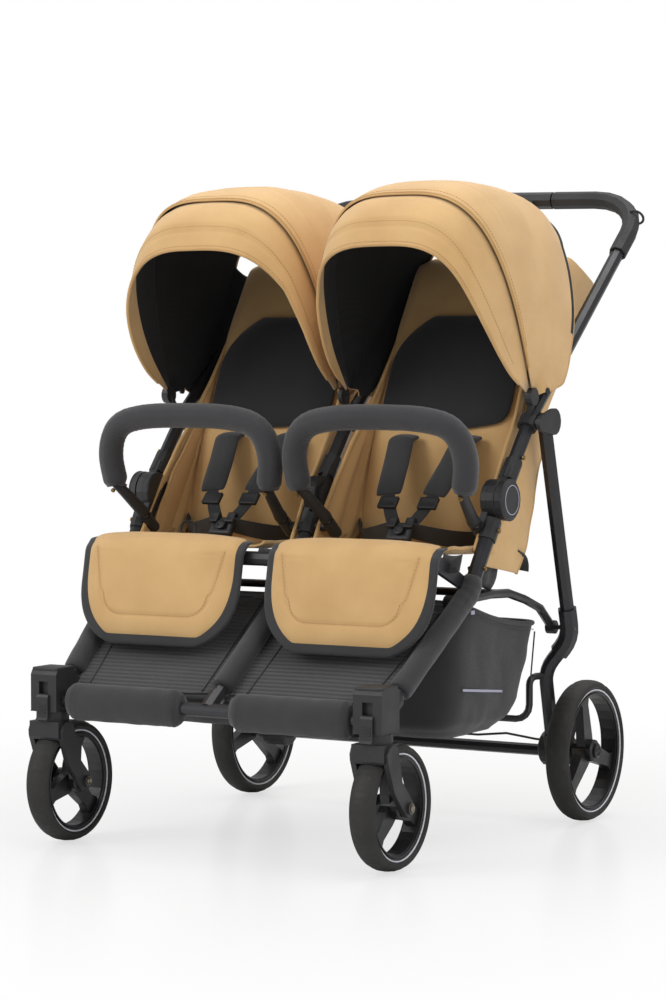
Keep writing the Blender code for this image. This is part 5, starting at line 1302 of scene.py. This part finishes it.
# Black calf panels, their sleeve round the cross bar and the leg covers
ribbedCloth, tree, shader = blankFinish("ribbedCloth")
group = node(tree, "ShaderNodeGroup", node_tree=woven)
group.inputs["Pitch"].default_value = 520
ribs = node(tree, "ShaderNodeTexWave", wave_type="BANDS", bands_direction="Z")
ribs.inputs["Scale"].default_value = 62
ribs.inputs["Distortion"].default_value = 0.8
ribs.inputs["Detail Scale"].default_value = 3
place = node(tree, "ShaderNodeTexCoord")
wire(tree, place, "Object", ribs, "Vector")
colours = mixColour(tree, ribs, "Fac", linear("#29292b"), linear("#3a3a3d"))
tree.links.new(colours.outputs["Result"], shader.inputs["Base Color"])
high = node(tree, "ShaderNodeMath", operation="MULTIPLY_ADD")
high.inputs[1].default_value = 1.6
wire(tree, ribs, "Fac", high, 0)
wire(tree, group, "Height", high, 2)
bump = node(tree, "ShaderNodeBump")
bump.inputs["Strength"].default_value = 0.7
bump.inputs["Distance"].default_value = 0.0009
wire(tree, high, 0, bump, "Height")
wire(tree, bump, 0, shader, "Normal")
shader.inputs["Roughness"].default_value = 0.78
shader.inputs["Sheen Weight"].default_value = 0.25

panel = {
    "top": (-0.198, 0.3845), "low": (-0.392, 0.2480), "topX": 0.321, "lowX": 0.286, "midX": 0.010, "sag": 0.006,
    "rise": 0.064, "riseEnd": 0.30,
    "sleeve": (-0.430, 0.2345), "sleeveUp": 0.0300, "sleeveDeep": 0.0195, "cut": 0.046, "end": 0.262,
}


def panelSpot(side, u, v):
    low = Vector(panel["low"])
    top = Vector(panel["top"])
    top += (top - low).normalized() * panel["rise"] * max(0.0, 1 - u / panel["riseEnd"]) ** 1.5
    spot = top.lerp(low, v)
    outer = panel["topX"] + (panel["lowX"] - panel["topX"]) * v
    x = panel["midX"] + (outer - panel["midX"]) * u
    slack = panel["sag"] * math.sin(math.pi * u) * math.sin(math.pi * v)
    crease = 0.0022 * rippled((x, spot.x * 0.6, spot.y * 0.6), 15.0, side + 1)
    return Vector((side * x, spot.x + slack * 0.58 + crease * 0.58, spot.y - slack * 0.81 - crease * 0.81))


def sleeveSize(side):
    def size(share, angle):
        ends = 1 - 0.30 * dip(share, 0.0, 0.035) - 0.22 * dip(share, 1.0, 0.03)
        folds = 0.035 * noise.noise(Vector((share * 9, math.cos(angle) * 1.2, math.sin(angle) * 1.2 + side * 2)))
        gathered = dip(share, 0.0, 0.12) + dip(share, 1.0, 0.12)
        folds += 0.018 * math.sin(share * 2 * math.pi * 21 + 2 * angle) * gathered
        return panel["sleeveUp"] * (ends + folds)
    return size


def coverSize(side):
    def size(share, angle):
        folds = 0.05 * noise.noise(Vector((share * 7, math.cos(angle) * 1.4, math.sin(angle) * 1.4 + side)))
        folds += 0.03 * math.sin(share * 2 * math.pi * 13 + angle) * dip(share, 0.0, 0.25)
        return 0.0168 * (1.02 + 0.10 * share + folds - 0.12 * dip(share, 0.0, 0.02) - 0.12 * dip(share, 1.0, 0.02))
    return size


for word, side in sides:
    sheet = sheetForm(
        "calfPanel_" + word, 40, 30, lambda u, v: panelSpot(side, u, v), 0.003, (side * 0.15, -0.10, 0.20),
        ribbedCloth, blackCloth,
    )
    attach(sheet, "front_frame")
    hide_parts("calf_panel")
    y, z = panel["sleeve"]
    path = even([Vector((side * panel["cut"], y, z)), Vector((side * panel["end"], y, z))], 70)
    sleeve = tubeForm("crossBarSleeve_" + word, path, sleeveSize(side), 36, blackCloth)
    for vert in sleeve.data.vertices:
        vert.co.y = y + (vert.co.y - y) * panel["sleeveDeep"] / panel["sleeveUp"]
    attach(sleeve, "front_frame")
    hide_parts("calf_panel")
    # The seam between panel and sleeve, and piping up the leg side
    seam = tubeForm("sleeveSeam_" + word, even([
        panelSpot(side, 0.02 + 0.96 * step / 30, 0.965) + Vector((0, -0.003, 0.0022)) for step in range(31)
    ], 60), 0.0016, 8, blackCloth)
    piping = tubeForm("panelPiping_" + word, even([
        panelSpot(side, 0.90, 0.03 + 0.92 * step / 30) + Vector((0, -0.0012, 0.0022)) for step in range(31)
    ], 60), 0.0014, 8, blackCloth)
    inner = tubeForm("panelPipingInner_" + word, even([
        panelSpot(side, 0.115, 0.03 + 0.92 * step / 30) + Vector((0, -0.0012, 0.0022)) for step in range(31)
    ], 60), 0.0014, 8, blackCloth)
    path = even(
        bent(
            [(side * 0.3305, -0.168, 0.4375), (side * 0.330, -0.182, 0.414), (side * 0.3045, -0.362, 0.274)], 0.05, 8,
        ),
        80,
    )
    cover = tubeForm("legCover_" + word, path, coverSize(side), 28, blackCloth)
    stitches = stitchForm(
        "legCoverStitch_" + word, [spot + Vector((side * 0.0150, -0.0070, 0.0070)) for spot in path[6:-6]], 0.0056,
        0.0036, 0.0005, blackThread,
    )
    for piece in (seam, piping, inner, cover, stitches):
        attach(piece, "front_frame")
path = even(bent([(0, -0.150, 0.462), (0, -0.182, 0.414), (0, -0.388, 0.2654)], 0.06, 8), 80)
cover = tubeForm("centreLegCover", path, coverSize(0.4), 28, blackCloth, flat=1.0)
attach(cover, "front_frame")
for tag, x in (("A", -0.0135), ("B", 0.0135)):
    stitches = stitchForm(
        "centreCoverStitch" + tag, [spot + Vector((x, -0.0065, 0.0085)) for spot in path[6:-4]], 0.0056, 0.0036,
        0.0005, blackThread,
    )
    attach(stitches, "front_frame")

def bridgeSpot(middle, half, u, v, layer):
    span = 2 * u - 1
    rise = 2 * v - 1
    crown = (1 - span ** 4) * (1 - rise ** 4)
    z = 0.4650 + 0.0140 * rise - 0.0030 * (1 - span ** 2)
    y = -0.226 - layer * (0.0015 + 0.0060 * crown) + 0.0030 * rippled(
        (span * 0.05, rise * 0.05, layer), 40.0, middle * 9,
    )
    return Vector((middle + half * span, y + 0.006 * rise, z))


for tag, middle, half in (("centre", 0.0, 0.036), ("left", -0.322, 0.017), ("right", 0.322, 0.017)):
    bridge = padForm(
        "legrestLoop_" + tag, 20, 12, lambda u, v, layer: bridgeSpot(middle, half, u, v, layer), blackCloth,
    )
    soften(bridge, 1)
    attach(bridge, "front_frame")
print("calf panels")

# Basket: a sagging cup of cloth hung from the frame
basket = {
    "halfX": 0.2955, "rimFront": 0.395, "rimRear": 0.344, "floor": 0.176, "cloth": 0.0024, "columns": 150,
    "dip": 0.014,
    "front": [(0.0, -0.139), (0.5, -0.166), (0.90, -0.184), (1.0, -0.160)],
    "rear": [(0.0, 0.148), (0.35, 0.128), (0.70, 0.094), (1.0, 0.030)],
}


def basketRing(v):
    wall = min(v, 1.0)
    shrink = 1.0 if v <= 1 else max(0.0, 1 - (v - 1) / 0.4)
    front = readLine(basket["front"], wall)
    rear = readLine(basket["rear"], wall)
    middle = (front + rear) / 2
    deep = (rear - front) / 2
    halfX = basket["halfX"] - 0.022 * max(0.0, wall - 0.86) / 0.14
    spots = []
    for step in range(720):
        angle = 2 * math.pi * step / 720
        c, s = math.cos(angle), math.sin(angle)
        x = halfX * math.copysign(abs(c) ** 0.20, c) * shrink
        y = middle + deep * math.copysign(abs(s) ** 0.24, s) * shrink
        share = (y - front) / max(rear - front, 1e-6)
        rim = basket["rimFront"] + (basket["rimRear"] - basket["rimFront"]) * share
        rim -= basket["dip"] * (1 - (2 * share - 1) ** 2) * (1 if abs(c) > 0.3 else 0.3)
        z = rim + (basket["floor"] - rim) * wall ** 0.96
        if v > 1:
            z = basket["floor"] - 0.006 * (1 - shrink ** 2)
        spots.append(Vector((x, y, z)))
    return even(spots + [spots[0]], basket["columns"])[:-1]


rings = [basketRing(v / 30) for v in range(31)] + [basketRing(1 + 0.4 * v / 8) for v in range(1, 8)]
count = basket["columns"]
spots = []
for index, line in enumerate(rings):
    loose = min(1.0, index / 6)
    for spot in line:
        wave = rippled((spot.x * 0.5, spot.y, spot.z), 17.0, 5) + 0.6 * rippled(
            (spot.x, spot.y * 1.7, spot.z * 0.7), 34.0, 9,
        )
        inward = Vector((-spot.x / 0.3, -(spot.y + 0.02) / 0.3, 0.2 if spot.z < 0.19 else 0.0))
        spots.append(spot + inward * (0.0022 + 0.0035 * wave) * loose)
faces = []
for index in range(len(rings) - 1):
    for turn in range(count):
        a, b = index * count + turn, index * count + (turn + 1) % count
        faces.append((a, b, b + count, a + count))
faces.append(tuple((len(rings) - 1) * count + turn for turn in range(count)))
cup = build("basketCup", spots, faces, blackCloth, blackCloth)
tally = sum((face.center - Vector((0, -0.02, 0.30))).dot(face.normal) * face.area for face in cup.data.polygons)
if tally < 0:
    cup.data.flip_normals()
wall = cup.modifiers.new("wall", "SOLIDIFY")
wall.thickness = basket["cloth"]
wall.offset = -1
applyAll(cup)
hem = tubeForm("basketHem", rings[0], 0.0042, 10, blackCloth, closed=True)
stitches = stitchForm(
    "basketStitch", [spot + Vector((math.copysign(0.0024, spot.x), 0, -0.011)) for spot in rings[0]], 0.0056, 0.0036,
    0.0005, blackThread,
)
stripes = []
for word, side in sides:
    path = even([(side * 0.2960, -0.138 + 0.0137 * step, 0.2550 - 0.0014 * step) for step in range(11)], 24)
    stripes.append(bandForm("basketStripe_" + word, path, 0.0042, 0.0012, (0, 0, 1), greyReflector))
    stripes.append(tubeForm(
        "basketSeam_" + word,
        even([(side * 0.2945, 0.120 - 0.018 * k / 8, 0.330 - 0.098 * k / 8) for k in range(9)], 30), 0.0014, 8,
        blackCloth,
    ))
    stripes.append(block(
        "basketTag_" + word, (side * 0.2995, -0.111, 0.378), (0.0014, 0.012, 0.0065), 0.0004, None, greyReflector,
    ))
for piece in [cup, hem, stitches] + stripes:
    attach(piece, "front_frame")
    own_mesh(piece)
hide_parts("basket")
print("basket")

# Wheels: ring round each rim, tread on each tyre, bolts
wheels = {
    "front": {
        "x": 0.300, "y": -0.380, "radius": 0.099, "width": 0.044, "depth": 0.017, "ring": 0.0838, "rim": 0.0160,
    },
    "rear": {"x": 0.332, "y": 0.239, "radius": 0.120, "width": 0.042, "depth": 0.017, "ring": 0.1048, "rim": 0.0160},
}


def tyreForm(name, size, centre):
    steps, around = 288, 26
    half = size["width"] / 2
    spots = []
    for step in range(steps):
        angle = 2 * math.pi * step / steps
        for turn in range(around):
            lap = 2 * math.pi * turn / around
            c, s = math.cos(lap), math.sin(lap)
            x = half * math.copysign(abs(s) ** 0.72, s)
            deep = size["depth"] / 2
            reach = size["radius"] - deep + deep * math.copysign(abs(c) ** 0.62, c)
            crown = 1 - (x / half) ** 2
            reach -= 0.0045 * (1 - crown) if c > 0 else 0
            if c > 0.05:
                wavy = 0.0125 + 0.0032 * math.sin(angle * 14)
                reach -= 0.0014 * dip(abs(x), wavy, 0.0016)
                reach -= 0.0010 * dip(x, 0.0016 * math.sin(angle * 28), 0.0013)
            spots.append(Vector((x, -math.sin(angle) * reach, math.cos(angle) * reach)) + centre)
    faces = []
    for step in range(steps):
        for turn in range(around):
            a = step * around + turn
            b = step * around + (turn + 1) % around
            c, d = ((step + 1) % steps) * around + (turn + 1) % around, ((step + 1) % steps) * around + turn
            faces.append((a, b, c, d))
    return build(name, spots, faces, tyreRubber)


for kind, size in wheels.items():
    for word, side in sides:
        centre = Vector((side * size["x"], size["y"], size["radius"]))
        body = kind + "_wheel_" + word
        tyre = tyreForm(kind + "Tyre_" + word, size, centre)
        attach(tyre, body)
        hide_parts(kind + "_tyre_" + word)
        for tag, way in (("Outer", side), ("Inner", -side)):
            item = ring(
                kind + "RimRing" + tag + "_" + word, centre + Vector((way * (size["rim"] + 0.0002), 0, 0)),
                size["ring"] - 0.0014, 0.0013, (way, 0, 0), ringPaint,
            )
            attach(item, body)
            lip = ring(
                kind + "RimLip" + tag + "_" + word, centre + Vector((way * (size["rim"] - 0.0010), 0, 0)),
                size["ring"] - 0.0078, 0.0016, (way, 0, 0), rimPlastic,
            )
            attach(lip, body)
        hubRing = ring(
            kind + "HubRing_" + word, centre + Vector((side * 0.0165, 0, 0)), 0.0150, 0.0012, (side, 0, 0),
            rimPlastic,
        )
        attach(hubRing, body)
for word, side in sides:
    for tag, way in (("Outer", side), ("Inner", -side)):
        spot = (side * 0.300 + way * 0.0378, -0.380, 0.099)
        bolt = rivet("forkBolt" + tag + "_" + word, spot, (way, 0, 0), 0.0064, 0.0030, boltSteel, 6)
        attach(bolt, "caster_" + word)
        washer = ring(
            "forkWasher" + tag + "_" + word, (side * 0.300 + way * 0.0368, -0.380, 0.099), 0.0078, 0.0009,
            (way, 0, 0), boltSteel,
        )
        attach(washer, "caster_" + word)
    cap = rivet(
        "rearHubCap_" + word, (side * (0.332 + 0.0205), 0.239, 0.120), (side, 0, 0), 0.0125, 0.0060, rimPlastic, 40,
    )
    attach(cap, "rear_wheel_" + word)
    slotPiece = block(
        "rearHubSlot_" + word, (side * (0.332 + 0.0236), 0.239, 0.120), (0.0012, 0.013, 0.0030), 0.0004, None,
        cableBlack,
    )
    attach(slotPiece, "rear_wheel_" + word)
print("wheels")

# Frame details: badge ring, rivets, caster trim, snaps and reflectors
for word, side in sides:
    made = []
    made.append((
        ring("foldBadgeRing_" + word, (side * 0.3602, -0.092, 0.559), 0.0235, 0.0007, (side, 0, 0), greyReflector),
        "front_frame",
    ))
    made.append((
        ring("foldBadgeEdge_" + word, (side * 0.3560, -0.092, 0.559), 0.0332, 0.0010, (side, 0, 0), blackPlastic),
        "front_frame",
    ))
    for tag, spot, body in (
        (
            "sleeveRivetLow", (0.3528, -0.122, 0.511), "front_frame",
        ), ("legRivet", (0.3465, -0.158, 0.453), "front_frame"),
        (
            "sleeveRivetHigh", (0.3528, -0.037, 0.625), "upper_frame",
        ), ("linkRivet", (0.3500, 0.161, 0.335), "rear_frame"),
        ("linkRivetFront", (0.3425, -0.200, 0.400), "front_frame"),
    ):
        made.append((
            rivet(tag + "_" + word, (side * spot[0], spot[1], spot[2]), (side, 0, 0), 0.0040, 0.0024, rivetBrass),
            body,
        ))
    made.append((
        rivet("canopySnap_" + word, (side * 0.3562, 0.040, 0.731), (side, 0, 0), 0.0065, 0.0040, blackPlastic),
        "upper_frame",
    ))
    x = side * 0.300
    made.append((
        block("casterCap_" + word, (x, -0.4245, 0.2856), (0.049, 0.050, 0.0060), 0.0026, None, blackPlastic),
        "front_frame",
    ))
    made.append((
        block("casterGroove_" + word, (x, -0.4245, 0.2180), (0.0515, 0.0560, 0.0016), 0.0006, None, blackPlastic),
        "front_frame",
    ))
    for k in range(3):
        made.append((
            block(
                "lockRib" + str(k) + "_" + word, (x, -0.4570, 0.2165 + 0.0055 * k), (0.016, 0.0016, 0.0018), 0.0005,
                None, blackPlastic,
            ),
            "swivel_lock_body_" + word,
        ))
    made.append((
        ring("gripEnd_" + word, (side * 0.338, 0.4213, 1.0314), 0.0136, 0.0022, (0, 0.784, 0.621), handleFoam),
        "upper_frame",
    ))
    for piece, body in made:
        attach(piece, body)
print("details")
